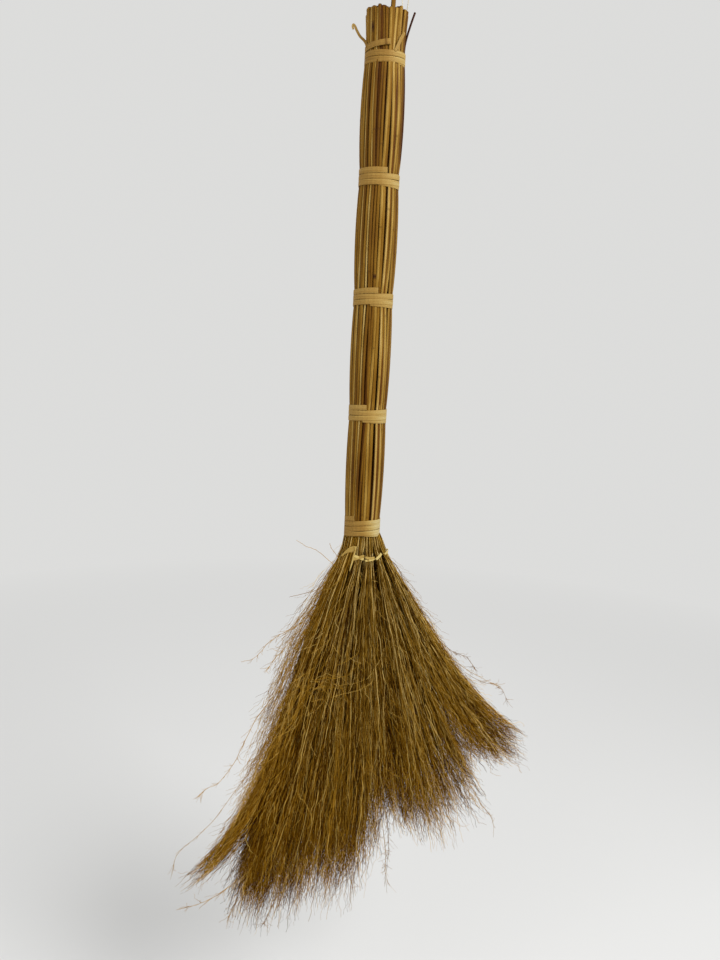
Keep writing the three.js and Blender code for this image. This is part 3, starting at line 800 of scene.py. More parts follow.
# %% Loose ends of the top binding
LEFT_END = (
    # angle, millimetres off the stalks, millimetres above the middle of the binding
    (186, 0.4, 3), (176, 1.0, 8), (164, 2.8, 12.5), (161, 6.4, 16), (161, 9.8, 21), (161, 11.9, 25),
    (161, 13.6, 26.6), (161, 14.3, 24.6), (161, 13.4, 22.2),
)
RIGHT_END = ((-84, 0.9, -3), (-77, 1.5, 1.6), (-70, 2.1, 8), (-64, 2.8, 12.4), (-60, 3.4, 15.8))
LEFT_FACING = np.array([-0.35, -0.9, 0.25])


def add_loose_end(name, places, facing, thickness, tones, shares, widths):
    """A free end of the cane. Without a facing it looks away from the handle's axis."""
    degrees, off, above = np.array(places).T
    places = around(HANDLE_RADII[0] + off * MM, np.radians(degrees), BINDING_LEVELS[0] + above * MM)
    path = smooth_path(places, 8)
    along = np.linspace(0, 1, len(path))
    outward = (path - AXIS) * [1, 1, 0] if facing is None else facing
    rings = strip_rings(path, outward, np.interp(along, shares, widths) * MM, thickness)
    tones = np.interp(along, [0, 1], tones)
    add_strips(name, [], [rings], tones[None], cane_finish)


add_loose_end("left_cane_end", LEFT_END, LEFT_FACING, thickness=0.8 * MM, tones=(0.2, 0.6),
              shares=(0, 0.3, 0.8, 1), widths=(3.4, 2.7, 2.2, 1.9))
add_loose_end("right_cane_end", RIGHT_END, None, thickness=0.6 * MM, tones=(0.42, 0.42),
              shares=(0, 0.25, 0.75, 1), widths=(2.6, 3.5, 3.6, 2.4))

# %% [markdown]
# ## Twining through the neck
#
# Just under the neck binding, two thinner strands of cane are twined round the twigs. They part them into
# lobes: a strand passes over a lobe, dives into the gap and comes up again, and the other one does the
# opposite, so that over each lobe two strands cross or lie side by side. At the left the first strand
# starts with a wide flat tongue that folds back down over the twigs.
#
# The mass of twigs has an oval section there, so a stitch is given by its places across and up, and the
# depth comes from the oval.

# %% The oval neck
NECK_TOP = 32 * MM
NECK_RADIUS = 18.9 * MM
ROW_HALF_WIDTH = 31.0 * MM
ROW_HALF_DEPTH = 15.6 * MM
ROW_SHIFT = 3 * MM
ROW_LEAN = 1.2 * MM
NECK_EASE = 1.25
NECK_LEAN = 0.3
SIDE_SLOPE = 0.52
DEPTH_SLOPE = 0.12
STITCH_GAP = 0.6 * MM
WIDEST_SHARE = 0.995


def row_x(across):
    """Places in the row, right of the axis, for shares across it from -1 to 1. The right side is fuller."""
    return ROW_SHIFT + ROW_HALF_WIDTH * across + ROW_LEAN * across ** 2


def neck_x(across, above):
    """Places right of the axis. above is 0 under the binding and 1 in the row. The right widens sooner."""
    eased = above ** (NECK_EASE - NECK_LEAN * across)
    return NECK_RADIUS * across + (row_x(across) - NECK_RADIUS * across) * eased


def neck_depth(above):
    """Half the depth of the twigs between the binding and the row."""
    return NECK_RADIUS + (ROW_HALF_DEPTH - NECK_RADIUS) * above ** NECK_EASE


def oval_at(height):
    """Half width, half depth and middle of the twigs at a height above the row."""
    above = np.clip((NECK_TOP - height) / NECK_TOP, 0, 1)
    below = np.clip(-height, 0, None)
    left, right = neck_x(-1, above) - SIDE_SLOPE * below, neck_x(1, above) + SIDE_SLOPE * below
    return (right - left) / 2, neck_depth(above) + DEPTH_SLOPE * below, (right + left) / 2


def on_the_twigs(places, side):
    """Places on the oval, and the way out of it, for places right of and above the row's middle."""
    across, height = np.array(places).T * MM
    half_width, half_depth, middle = oval_at(height)
    share = np.clip((ROW_SHIFT + across - middle) / half_width, -WIDEST_SHARE, WIDEST_SHARE)
    y = side * half_depth * np.sqrt(1 - share ** 2)
    outward = unit(np.stack([share / half_width, y / half_depth ** 2, 0 * share], axis=1))
    path = AXIS + np.stack([middle + share * half_width, y, ROW + height], axis=1)
    return path + STITCH_GAP * outward, outward


print("row", round(2 * ROW_HALF_WIDTH, 4), "m wide and", round(2 * ROW_HALF_DEPTH, 4), "m deep")

# %% Stitches
STITCH_STEPS = 24
STITCH_THICKNESS = 0.8 * MM
DIVE = 3.5 * MM
BACK_TONES = (0.4, 0.7)
TONGUE = (
    # places right of and above the row's middle in millimetres, width at each, and tone
    (((-27, 4), (-24.7, 7.4), (-21.4, 11), (-18.1, 12.8), (-14.6, 13.8)), (1.6, 2.2, 4.2, 6.6, 7.2), 0.45),
    (((-14.9, 16.8), (-15.8, 8.5), (-17.2, 0), (-18.8, -5.2), (-20.6, -11.2)), (3, 2.4, 2, 1.5, 0.6), 0.6),
)
FRONT_STITCHES = (
    # the same as for the tongue
    (((-16.5, 1.6), (-14.2, 2.3), (-10.6, 3.8), (-6.6, 5.4), (-5.2, 5.8)), (2.6, 3.2, 3.2, 3.2, 2.6), 0.45),
    (((-16.5, 6.0), (-14.2, 5.2), (-10.6, 3.8), (-6.6, 2.3), (-5.2, 1.9)), (2.4, 3.0, 2.8, 3.0, 2.6), 0.75),
    (((-3.6, 4.4), (-1.4, 3.4), (2.0, 2.9), (5.6, 3.0), (7.6, 3.4)), (2.4, 2.8, 2.6, 2.6, 2.2), 0.5),
    (((-3.6, -0.2), (-1.4, 0.2), (2.0, 0.4), (5.6, 1.2), (7.6, 2.6)), (2.2, 2.6, 2.4, 2.6, 2.0), 0.75),
    (((9.4, 1.0), (10.8, 1.9), (12.9, 3.6), (15.0, 5.6), (16.2, 7.2)), (2.4, 3.2, 3.4, 3.2, 2.6), 0.8),
    (((21.0, 5.4), (23.4, 6.4), (26.2, 7.2), (28.8, 7.8), (31.2, 8.4)), (2.0, 2.8, 3.2, 2.8, 2.2), 0.8),
)
BACK_GAPS = (-26, -13, 1, 14, 24)
BACK_HEIGHTS = ((5.6, 4.0, 2.4), (2.4, 4.2, 5.8))
BACK_WIDTHS = (2.0, 2.6, 2.0)
BOTH_STRANDS = ["front_twining_strand", "rear_twining_strand"]


def stitch(places, widths, side=-1, dives=True):
    """One visible stretch of a strand over the twigs, in front or behind. Its ends dive into the gaps."""
    path, outward = on_the_twigs(evened_path(places, STITCH_STEPS), side)
    share = np.linspace(0, 1, STITCH_STEPS)
    if dives:
        ends = np.clip(np.abs(2 * share - 1) * 5 - 4, 0, 1) ** 2
        path = path - outward * (DIVE * ends)[:, None]
    widths = np.interp(share, np.linspace(0, 1, len(widths)), widths) * MM
    return strip_rings(path, outward, widths, STITCH_THICKNESS)


tongue = [stitch(places, widths, dives=False) for places, widths, _ in TONGUE]
front = [stitch(places, widths) for places, widths, _ in FRONT_STITCHES]
back = []
for start, end in zip(BACK_GAPS, BACK_GAPS[1:]):
    for heights in BACK_HEIGHTS:
        places = list(zip((start, (start + end) / 2, end), heights))
        back.append(stitch(places, BACK_WIDTHS, 1))
tongue_tones = [tone for *_, tone in TONGUE]
front_tones = [tone for *_, tone in FRONT_STITCHES]
back_tones = rng.uniform(*BACK_TONES, len(back))
add_strips("twining_tongue", BOTH_STRANDS[:1], tongue, tongue_tones, twine_finish)
add_strips("front_stitches", BOTH_STRANDS, front, front_tones, twine_finish)
add_strips("back_stitches", BOTH_STRANDS, back, back_tones, twine_finish)

# %% [markdown]
# ## The lie of the twigs
#
# The fan of twigs is the broom's character, so its shape is settled once, as a field: given a share across
# the fan, a share through its depth, and how far down from the neck, it answers with a place. All twigs,
# thick or hair-thin, are then drawn through that field, and together they fill the outline.
#
# In the neck the twigs fill a circle. At the twined row they fill an oval, pinched into five lobes. From
# there each follows a curve to its tip. The curves at the edges bend outward.

# %% Guides of the fan
LOBE_EDGES = np.array([-1, -0.54, -0.15, 0.29, 0.61, 1])
BUNCH_BORDERS = np.array([-1, -0.34, 0.06, 0.45])
FAN_GUIDES = np.array([
    # share of the fan, angle at the row, angle at the tip, tip's place right of and above the row's middle
    (0.000, -27, -61, -199, -366), (0.015, -26, -60, -199, -369), (0.027, -24, -57, -194, -370),
    (0.043, -22, -36, -156, -360), (0.065, -20, -15, -144, -422), (0.190, -17, -11, -118, -436),
    (0.300, -13, -9, -80, -434), (0.400, -8, -6, -42, -430), (0.500, -3, -4, -10, -424),
    (0.555, 0, -2, 9, -418), (0.585, 2, 0, 22, -388), (0.610, 4, 4, 34, -352),
    (0.635, 6, 8, 48, -346), (0.670, 9, 13, 72, -366), (0.715, 12, 18, 102, -378),
    (0.765, 15, 24, 130, -374), (0.805, 18, 30, 158, -356), (0.835, 21, 36, 184, -340),
    (0.850, 22, 36, 174, -310), (0.866, 24, 38, 156, -284), (0.895, 26, 42, 184, -280),
    (0.930, 28, 48, 210, -279), (0.965, 29, 51, 228, -272), (1.000, 31, 54, 237, -250),
])


def disc_share(across):
    """The share of a disc's area that lies left of a place across it, from -1 to 1."""
    return 0.5 + (across * np.sqrt(1 - across ** 2) + np.arcsin(across)) / np.pi


ACROSS = np.linspace(-1, 1, 400)
SHARE_OF_ACROSS = disc_share(ACROSS)
print("guides", len(FAN_GUIDES), "lobes end at shares", np.round(disc_share(LOBE_EDGES), 3))


# %% The field that all twigs follow
LOBE_PINCH = 0.46
FRONT_PINCH, REAR_PINCH = 1.0, 0.1
LOBE_RISE = 0.45
LOBE_REACH = 0.34
FAN_HALF_DEPTH = 35 * MM
EDGE_FULLNESS = 0.3
OPEN_FROM = 0.8
PAST_TIP = 1.2


def guide(column, share):
    return np.interp(share, FAN_GUIDES[:, 0], FAN_GUIDES[:, column])


def lobed(across):
    """How far a place moves towards the middle of its lobe, as a share of the half width."""
    at = np.clip(np.searchsorted(LOBE_EDGES, across, side="right") - 1, 0, len(LOBE_EDGES) - 2)
    return ((LOBE_EDGES[at] + LOBE_EDGES[at + 1]) / 2 - across) * LOBE_PINCH


def bent(share, first, second, last):
    """A way along a cubic curve from nought to last, which first and second pull to themselves."""
    keep = 1 - share
    return 3 * keep ** 2 * share * first + 3 * keep * share ** 2 * second + share ** 3 * last


def fan_place(share, depth, down):
    """The place of a twig: its share of the fan, its depth from -1 to 1, and how far down, from 0 to 1.

    All three are arrays of one shape. The lobes show most in front, where depth is -1.
    """
    share = np.clip(share, 0, 1)
    across = np.interp(share, SHARE_OF_ACROSS, ACROSS)
    disc_depth = depth * np.sqrt(np.clip(1 - across ** 2, 0, 1))
    tip_x, tip_z = ROW_SHIFT + guide(3, share) * MM, guide(4, share) * MM
    length = np.hypot(tip_x, tip_z)
    row_share = NECK_TOP / (NECK_TOP + length)
    above = np.clip(down / row_share, 0, 1)
    below = np.clip((down - row_share) / (1 - row_share), 0, PAST_TIP)

    pinch = lobed(across) * np.exp(-((above - 1) / LOBE_RISE) ** 2 - (below / LOBE_REACH) ** 2)
    pinch = pinch * np.interp(depth, (-1, 1), (FRONT_PINCH, REAR_PINCH))
    x = neck_x(across, above) + ROW_HALF_WIDTH * pinch * above
    run, pull = tip_x - row_x(across), length / 3
    leave, arrive = np.radians(guide(1, share)), np.radians(guide(2, share))
    x = x + bent(below, pull * np.sin(leave), run - pull * np.sin(arrive), run)
    z = NECK_TOP * (1 - above) + bent(below, -pull * np.cos(leave), tip_z + pull * np.cos(arrive), tip_z)

    fullness = EDGE_FULLNESS + (1 - EDGE_FULLNESS) * np.sin(np.pi * share) ** 0.8
    opened = np.sin(np.pi / 2 * np.clip(below / OPEN_FROM, 0, 1))
    y = disc_depth * neck_depth(above)
    y = y + (FAN_HALF_DEPTH * fullness * depth - ROW_HALF_DEPTH * disc_depth) * opened
    return AXIS + np.stack([x, y, ROW + z], axis=-1)


print("left tip", np.round(fan_place(0.0, 0.0, 1.0), 3))

# %% [markdown]
# ## Tufts
#
# Twigs that grew on one shoot stay together, so the fan breaks into tufts with dark gaps between them.
# Each twig belongs to the nearest of 150 tufts, and is drawn towards its middle, most strongly
# halfway down.

# %% Tufts
TUFTS = 150
TUFT_FLATNESS = 0.05
TUFT_SHORTENING = 0.07
TONE_SHARES = (0, 0.06, 0.22, 0.36, 0.5, 0.62, 0.8, 1)
TONE_SHIFTS = (0.6, -0.9, -0.6, 0.5, -0.3, 0.3, 0.1, -0.1)
tuft_share = (np.arange(TUFTS) + rng.uniform(0.2, 0.8, TUFTS)) / TUFTS
tuft_depth = rng.uniform(-0.95, 0.95, TUFTS)
tuft_tone = rng.uniform(-1, 1, TUFTS) + np.interp(tuft_share, TONE_SHARES, TONE_SHIFTS)
tuft_reach = 1 - TUFT_SHORTENING * rng.uniform(0, 1, TUFTS) ** 1.5 * np.clip(tuft_share / 0.1, 0, 1)


def tuft_of(share, depth):
    """The tuft whose middle is nearest, where a step across counts for more than a step in depth."""
    distance = (share[:, None] - tuft_share) ** 2 + (TUFT_FLATNESS * (depth[:, None] - tuft_depth)) ** 2
    return distance.argmin(axis=1)


def shares_along(steps):
    """Shares from 0 to 1 along a twig, closer together towards its tip, where it kinks most."""
    even = np.linspace(0, 1, steps)
    return even * (1.5 - 0.5 * even)


print("tufts", TUFTS, "the shortest reaches", round(float(tuft_reach.min()), 3))

# %% Paths of twigs
TUFT_PULL = 0.34
TIP_PULL = 0.08
DEPTH_PULL_SHARE = 0.7
FAN_LENGTH = 0.4
WAVES = ((1.0, 0.13), (0.5, 0.045), (0.28, 0.018))
WAVE_SHARES = (1.0, 0.8, 0.25)
WAVE_LENGTHS, WAVE_HEIGHTS = (0.7, 1.4), (0.4, 1.2)
TWIG_ZIGZAG = 0.3 * MM * np.array([1, 0.7, 0.3])
TWIG_CRINKLE = 0.66 * MM * np.array([1, 0.8, 0.4])


def wave_along(run, wobble, size, wave_length):
    """A wave that starts at nought, with a phase, a length and a strength of its own for each twig."""
    phase = rng.uniform(0, 2 * np.pi, (len(run), 1))
    angle = phase + 2 * np.pi * run / (wave_length * rng.uniform(*WAVE_LENGTHS, (len(run), 1)))
    strength = wobble[:, None] * size * rng.uniform(*WAVE_HEIGHTS, (len(run), 1))
    return strength * (np.sin(angle) - np.sin(phase))


def twig_paths(share, depth, start, end, drift_share, drift_depth, steps, wobble, crinkling=1):
    """Paths through the field from start to end, with drift, tufts and a wobble of its own to each."""
    tuft = tuft_of(share, depth)
    along = shares_along(steps)
    eased = along ** 1.3
    start, run = (start * tuft_reach[tuft])[:, None], ((end - start) * tuft_reach[tuft])[:, None] * along
    down = start + run
    held_down = np.clip(down, 0, 1)
    pull = TUFT_PULL * np.sin(np.pi * held_down ** 0.8) ** 1.2 + TIP_PULL * held_down ** 3
    at_share = share[:, None] + drift_share[:, None] * eased
    at_share = at_share + (tuft_share[tuft][:, None] - at_share) * pull
    at_depth = depth[:, None] + drift_depth[:, None] * eased
    at_depth = at_depth + (tuft_depth[tuft][:, None] - at_depth) * pull * DEPTH_PULL_SHARE
    paths = fan_place(at_share, np.clip(at_depth, -1, 1), down)
    for size, wave_length in WAVES:
        for axis, amount in enumerate(WAVE_SHARES):
            wave = wave_along(FAN_LENGTH * run, wobble, size * amount, wave_length)
            paths[..., axis] += wave * np.clip(0.1 + down * 2, 0, 1)
    if steps > 2:
        jogs = np.cumsum(rng.normal(0, 1, paths.shape), axis=1) * TWIG_ZIGZAG
        paths += jogs * np.clip(down * 5, 0, 1)[..., None]
        crinkle = rng.normal(0, 1, paths.shape) * TWIG_CRINKLE * crinkling
        paths += crinkle * np.clip(down, 0.3, 1)[..., None] ** 1.5
    return paths, tuft


# %% Thickness, tone and ripeness of twigs
MIDDLE_TONE = 0.23
MIDDLE_DEPTH = 0.55
TUFT_CONTRAST = 0.14
TWIG_CONTRAST = 0.32
DEPTH_PAINTED_SHADE = 0.55
PALE_STEP = 0.4
LEFT_RIPENESS = 0.35


def radii_of(count, steps, thinnest, thickest, tip=0.6, power=1):
    """Radii along twigs, from millimetres at their foot to a share of that at their tip."""
    radii = thinnest + (thickest - thinnest) * rng.uniform(0, 1, count) ** power
    return radii[:, None] * MM * np.linspace(1, tip, steps)


def tones_of(tuft, depth, pale_share=PALE_SHARE):
    """Twigs of a tuft are alike, those inside the mass get painted shade, and some are pale."""
    tones = MIDDLE_TONE + TUFT_CONTRAST * tuft_tone[tuft] + rng.normal(0, TWIG_CONTRAST, len(tuft))
    # Painted shade: twigs deep inside the mass, away from both of its faces, are darker.
    tones = tones + DEPTH_PAINTED_SHADE * (np.abs(depth) - MIDDLE_DEPTH)
    pale = rng.uniform(0, 1, len(tuft)) < pale_share
    return np.clip(tones + PALE_STEP * pale, 0, 1)


def ripeness(share, along):
    """0 for olive brown and 1 for ginger: the tips are riper, and so are the twigs at the left."""
    return along ** 1.5 + LEFT_RIPENESS * np.clip(1 - 2 * share, 0, 1)[:, None]


print("twig helpers ready")

# %% [markdown]
# ## What the twigs look like
#
# The twigs are olive brown where they leave the neck and turn ginger towards their tips, and each has its
# own lightness. Fine noise along them breaks the colour up, as the leaf scars do on the real ones.

# %% Twig finish
NECK_STOPS = ((0.0, 36, 12, 0), (0.35, 100, 68, 5), (0.7, 160, 124, 48), (1.0, 216, 186, 116))
TIP_STOPS = ((0.0, 64, 32, 0), (0.35, 134, 89, 3), (0.7, 188, 138, 36), (1.0, 222, 182, 90))
twig_finish, sheet, shader = finish_of("bamboo twig", roughness=0.7, specular=0.03)
specks = sheet.noise((260, 260, 90), detail=3, roughness=0.6)
shade = (sheet.attribute("tone") + (specks - 0.5) * 0.7).clamped()
ripe = sheet.attribute("along").clamped()
sheet.feed(shader, {
    "Base Color": ripe.mix(sheet.ramp(NECK_STOPS, shade), sheet.ramp(TIP_STOPS, shade)),
    "Roughness": 0.5 + specks * 0.25,
})
print("twig finish ready")

# %% [markdown]
# ## Four orders of twigs
#
# The stems come out of the neck binding and carry most of the way down. Short thin shoots crowd between
# them near the neck. Branches leave at narrow angles and reach the outline. Sprays, the thinnest, fork off
# anywhere, kink at each of their tiny joints and stick out of the fan. Each bunch of the frame gets a
# piece of each order in front and one behind, and they replace its solid.

# %% Sort the twigs by bunch
BUNCH_NODES = ("left_bunch", "centre_left_bunch", "centre_right_bunch", "right_bunch")
BUNCH_EDGES = disc_share(BUNCH_BORDERS)
TWIG_REACH = np.array([10, 5, 20]) * MM


def held_in(paths, reach):
    """Which paths stay within reach of the solids' box: the broom's outermost twigs break off in use."""
    low, high = np.array(cad_low) - reach, np.array(cad_high) + reach
    return ((paths >= low) & (paths <= high)).all(axis=(1, 2))


def add_by_bunch(order, paths, radii, sides, tones, along, share, depth):
    """A front and a rear piece for each bunch, from the twigs that start in its share of the fan."""
    bunch = np.clip(np.searchsorted(BUNCH_EDGES, share, side="right") - 1, 0, len(BUNCH_NODES) - 1)
    held = held_in(paths, TWIG_REACH)
    for index, node in enumerate(BUNCH_NODES):
        for half, chosen in (("front", depth < 0), ("rear", depth >= 0)):
            mine = (bunch == index) & chosen & held
            if mine.any():
                rings = rings_round(paths[mine], radii[mine], sides)
                attributes = {"tone": tones[mine], "along": along[mine]}
                add_tubes(f"{node}_{half}_{order}", [node], rings, attributes, twig_finish)


def spread_shares(count):
    """Shares across the fan, spread evenly with a little chance, in random order."""
    shares = (np.arange(count) + rng.uniform(0, 1, count)) / count
    return rng.permutation(shares)


# %% Grow an order of twigs through the field
FLICK_EDGES = (0.025, 0.06)


def calmed(share, at_flick):
    """1, but less at the left edge, where the twigs of the flick lie straight and close."""
    return np.interp(share, FLICK_EDGES, (at_flick, 1))


def grow(order, share, depth, start, end, steps, sides, drifts, wobbles, thickness,
         ripe_from=0, calm=(1, 1), crinkling=1, pale_share=PALE_SHARE):
    """Draws one order of twigs through the field and adds its pieces.

    drifts are how far twigs stray in share and in depth, wobbles the least and the most in millimetres, and
    thickness what radii_of takes. calm says how much is left of the drift and of the wobble at the flick.
    """
    count = len(share)
    drift_share = rng.normal(0, drifts[0], count) * calmed(share, calm[0])
    drift_depth = rng.normal(0, drifts[1], count)
    wobble = rng.uniform(*wobbles, count) * calmed(share, calm[1]) * MM
    paths, tuft = twig_paths(share, depth, start, end, drift_share, drift_depth, steps, wobble, crinkling)
    radii = radii_of(count, steps, *thickness)
    along = ripe_from + (end[:, None] - ripe_from) * shares_along(steps)
    tones = tones_of(tuft, depth, pale_share)
    add_by_bunch(order, paths, radii, sides, tones, ripeness(share, along), share, depth)


# %% Stems
STEMS = 1000
share, depth = spread_shares(STEMS), rng.uniform(-1, 1, STEMS)
end = rng.uniform(0.45, 0.9, STEMS)
grow("stems", share, depth, np.zeros(STEMS), end, steps=40, sides=4, drifts=(0.014, 0.2),
     wobbles=(0.8, 1.6), thickness=(0.24, 0.42, 0.35), pale_share=1 / 14)

# %% Thin shoots near the neck
SHOOTS = 1500
share, depth = spread_shares(SHOOTS), rng.uniform(-1, 1, SHOOTS)
start = rng.uniform(0, 0.14, SHOOTS)
end = start + rng.uniform(0.09, 0.22, SHOOTS)
grow("shoots", share, depth, start, end, steps=16, sides=3, drifts=(0.02, 0.2),
     wobbles=(1.0, 2.4), thickness=(0.2, 0.34), crinkling=3.4)

# %% Branches
BRANCHES = 8600
RAGGED_SHARES = (0, 0.027, 0.05, 0.6, 0.84, 0.89, 1)
RAGGED_AMOUNTS = (0.14, 0.14, 0.19, 0.19, 0.16, 0.06, 0.06)


def raggedness(share):
    """How unevenly the twigs end: the flick at the left tapers, and the right lobe is cut off short."""
    return np.interp(share, RAGGED_SHARES, RAGGED_AMOUNTS)


share, depth = spread_shares(BRANCHES), rng.uniform(-1, 1, BRANCHES)
start = np.maximum(0, 0.84 * rng.uniform(0, 1, BRANCHES) - 0.16)
reach = 1.01 - raggedness(share) * rng.uniform(0, 1, BRANCHES) ** 1.3
end = np.minimum(start + rng.uniform(0.34, 0.75, BRANCHES), reach)
grow("branches", share, depth, start, end, steps=22, sides=3, drifts=(0.026, 0.45),
     wobbles=(0.8, 3.0), thickness=(0.21, 0.52, 0.35, 2), ripe_from=start[:, None], calm=(0.3, 0.5))


# %% A walk of a thin spray
CROOK_SHARES = (1, 0.7, 0.6)
LEAN_AT_ROOT = 0.3
ROOT_LENGTH = 0.03


def walk(start, heading, lean, length, steps, crook):
    """Paths that start along heading, lean away, and turn a little at each tiny joint."""
    places = [start]
    for step in range(steps - 1):
        leaning = lean * (LEAN_AT_ROOT + (1 - LEAN_AT_ROOT) * step / steps)
        turn = unit(heading + leaning + crook * rng.normal(0, 1, start.shape) * CROOK_SHARES)
        places.append(places[-1] + turn * (length / (steps - 1))[:, None])
    return np.stack(places, axis=1)


def forks(paths, which, where):
    """Places on some paths, and the way that those paths run there."""
    return paths[which, where], unit(paths[which, where + 1] - paths[which, where])


def rooted(share, depth, down):
    """Places on the field, the way that twigs run there, and their tufts."""
    nothing = np.zeros(len(share))
    paths, tuft = twig_paths(share, depth, down, down + ROOT_LENGTH, nothing, nothing, 2, nothing)
    return *forks(paths, np.arange(len(share)), 0), tuft


# %% Sprays
SPRAYS = 20000
SPRAY_STEPS = 9
SPRAY_LENGTHS = (14 * MM, 50 * MM)
FIRST_SPRAY = 0.16
LOOSE_FROM, LOOSE_TO = (0.3, 0.9), (0.14, 0.42)
EDGE_POWER = 6
share, depth = spread_shares(SPRAYS), rng.uniform(-1, 1, SPRAYS)
start = FIRST_SPRAY + (1 - FIRST_SPRAY) * rng.uniform(0, 1, SPRAYS) ** 0.62
start = (1 - 0.5 * raggedness(share)) * start
roots, heading, tuft = rooted(share, depth, start)
looseness = (np.interp(start, LOOSE_FROM, LOOSE_TO) * calmed(share, 0.5))[:, None]
lean = rng.normal(0, 1, (SPRAYS, 3)) * [1, 0.8, 0.5] * looseness
lean[:, 0] += np.sign(share - 0.5) * np.abs(2 * share - 1) ** EDGE_POWER * rng.uniform(0, 0.5, SPRAYS)
length = rng.uniform(*SPRAY_LENGTHS, SPRAYS) * calmed(share, 0.6)
paths = walk(roots, heading, lean, length, SPRAY_STEPS, 0.1 + 1.1 * looseness)
radii = radii_of(SPRAYS, SPRAY_STEPS, thinnest=0.16, thickest=0.28, tip=0.5)
along = ripeness(share, start[:, None] + np.linspace(0, 0.15, SPRAY_STEPS))
add_by_bunch("sprays", paths, radii, 3, tones_of(tuft, depth), along, share, depth)

# %% [markdown]
# ## Strays
#
# A used broom sheds its order. Short curled twigs lie across the front, and one tangle of them arches
# over its left half. Long thin wisps run beside both edges, most of them at the left, and a few strays
# reach far out. Those last ones are drawn one by one after the photograph.

# %% Curls that lie across the front
CURLS = 300
CURL_STEPS = 14
CURL_LENGTHS = (12 * MM, 45 * MM)
share = rng.uniform(0.02, 0.75, CURLS) ** 1.2
depth = rng.uniform(-1, -0.75, CURLS)
start = rng.uniform(0.1, 0.8, CURLS)
roots, heading, _ = rooted(share, depth, start)
lean = rng.normal(0, 1, (CURLS, 3)) * [1.1, 0.15, 0.6] - [0, 0.1, 0]
paths = walk(roots, heading, lean, rng.uniform(*CURL_LENGTHS, CURLS), CURL_STEPS, crook=0.22)
radii = radii_of(CURLS, CURL_STEPS, thinnest=0.2, thickest=0.34)
tones = np.clip(rng.normal(0.66, 0.16, CURLS), 0, 1)
add_by_bunch("curls", paths, radii, 4, tones, start, share, depth)

# %% A tangle of loose twigs on the front
TANGLE_TWIGS = 64
TANGLE_STEPS = 24
TANGLE_GAP = 3 * MM
TANGLE_TURN = np.array([0.14, 0.04, 0.26]) * MM
TANGLE_WIDTH = 0.022
TANGLE_RIPENESS = 0.6
TANGLE_ARCH = (
    # share of the fan, and down
    (0.01, 0.49), (0.04, 0.44), (0.1, 0.39), (0.21, 0.36), (0.36, 0.375), (0.52, 0.405),
)
arch_share, arch_down = np.array(TANGLE_ARCH).T
arch_place = np.linspace(0, 1, len(TANGLE_ARCH))
place = rng.uniform(0, 0.75, TANGLE_TWIGS)[:, None]
place = place + rng.uniform(0.08, 0.34, TANGLE_TWIGS)[:, None] * np.linspace(0, 1, TANGLE_STEPS)
share = np.interp(place, arch_place, arch_share)
down = np.interp(place, arch_place, arch_down) + rng.normal(0, TANGLE_WIDTH, TANGLE_TWIGS)[:, None]
paths = fan_place(share, np.full_like(share, -1.0), down) - [0, TANGLE_GAP, 0]
turns = np.cumsum(rng.normal(0, 1, paths.shape), axis=1)
paths += np.cumsum(turns, axis=1) * TANGLE_TURN
radii = radii_of(TANGLE_TWIGS, TANGLE_STEPS, thinnest=0.15, thickest=0.23)
tones = np.clip(rng.normal(0.66, 0.14, TANGLE_TWIGS), 0, 1)
along = np.full(TANGLE_TWIGS, TANGLE_RIPENESS)
add_by_bunch("tangle", paths, radii, 4, tones, along, share[:, 0], np.full(TANGLE_TWIGS, -1.0))

# %% Long wisps that stand off the edges
WISPS = 330
WISP_STEPS = 26
LEFT_WISP_SHARE = 0.76
RIGHT_SPREAD = 0.4
LEFT_EDGE, RIGHT_EDGE, EDGE_WIDTH = 0.02, 0.98, 0.02
WISP_RIPENESS = 0.3
WISP_LEVELS = (0.0, 0.12, 0.3, 0.5, 0.68, 0.85, 1.0)
WISP_SPREADS = (4 * MM, 22 * MM, 36 * MM, 34 * MM, 22 * MM, 9 * MM, 4 * MM)
at_left = rng.uniform(0, 1, WISPS) < LEFT_WISP_SHARE
wisp_share = np.where(at_left, LEFT_EDGE, RIGHT_EDGE) + rng.uniform(-EDGE_WIDTH, EDGE_WIDTH, WISPS)
wisp_depth = rng.uniform(-1, 1, WISPS)
start = rng.uniform(0, 0.66, WISPS)
end = np.minimum(start + rng.uniform(0.12, 0.4, WISPS), 0.97)
drift_depth, wobble = rng.normal(0, 0.3, WISPS), rng.uniform(1.2, 3.4, WISPS) * MM
wisps, _ = twig_paths(wisp_share, wisp_depth, start, end, np.zeros(WISPS), drift_depth, WISP_STEPS, wobble)
down = start[:, None] + (end - start)[:, None] * shares_along(WISP_STEPS)
spread = np.interp(down, WISP_LEVELS, WISP_SPREADS) * rng.uniform(0, 1, WISPS)[:, None] ** 1.05
wisps[..., 0] += np.where(at_left, -1, RIGHT_SPREAD)[:, None] * spread * shares_along(WISP_STEPS) ** 0.8
radii = radii_of(WISPS, WISP_STEPS, thinnest=0.15, thickest=0.24)
wisp_tones = np.clip(rng.normal(0.62, 0.18, WISPS), 0.2, 1)
wisp_along = WISP_RIPENESS + (1 - WISP_RIPENESS) * down
add_by_bunch("wisps", wisps, radii, 3, wisp_tones, wisp_along, wisp_share, wisp_depth)

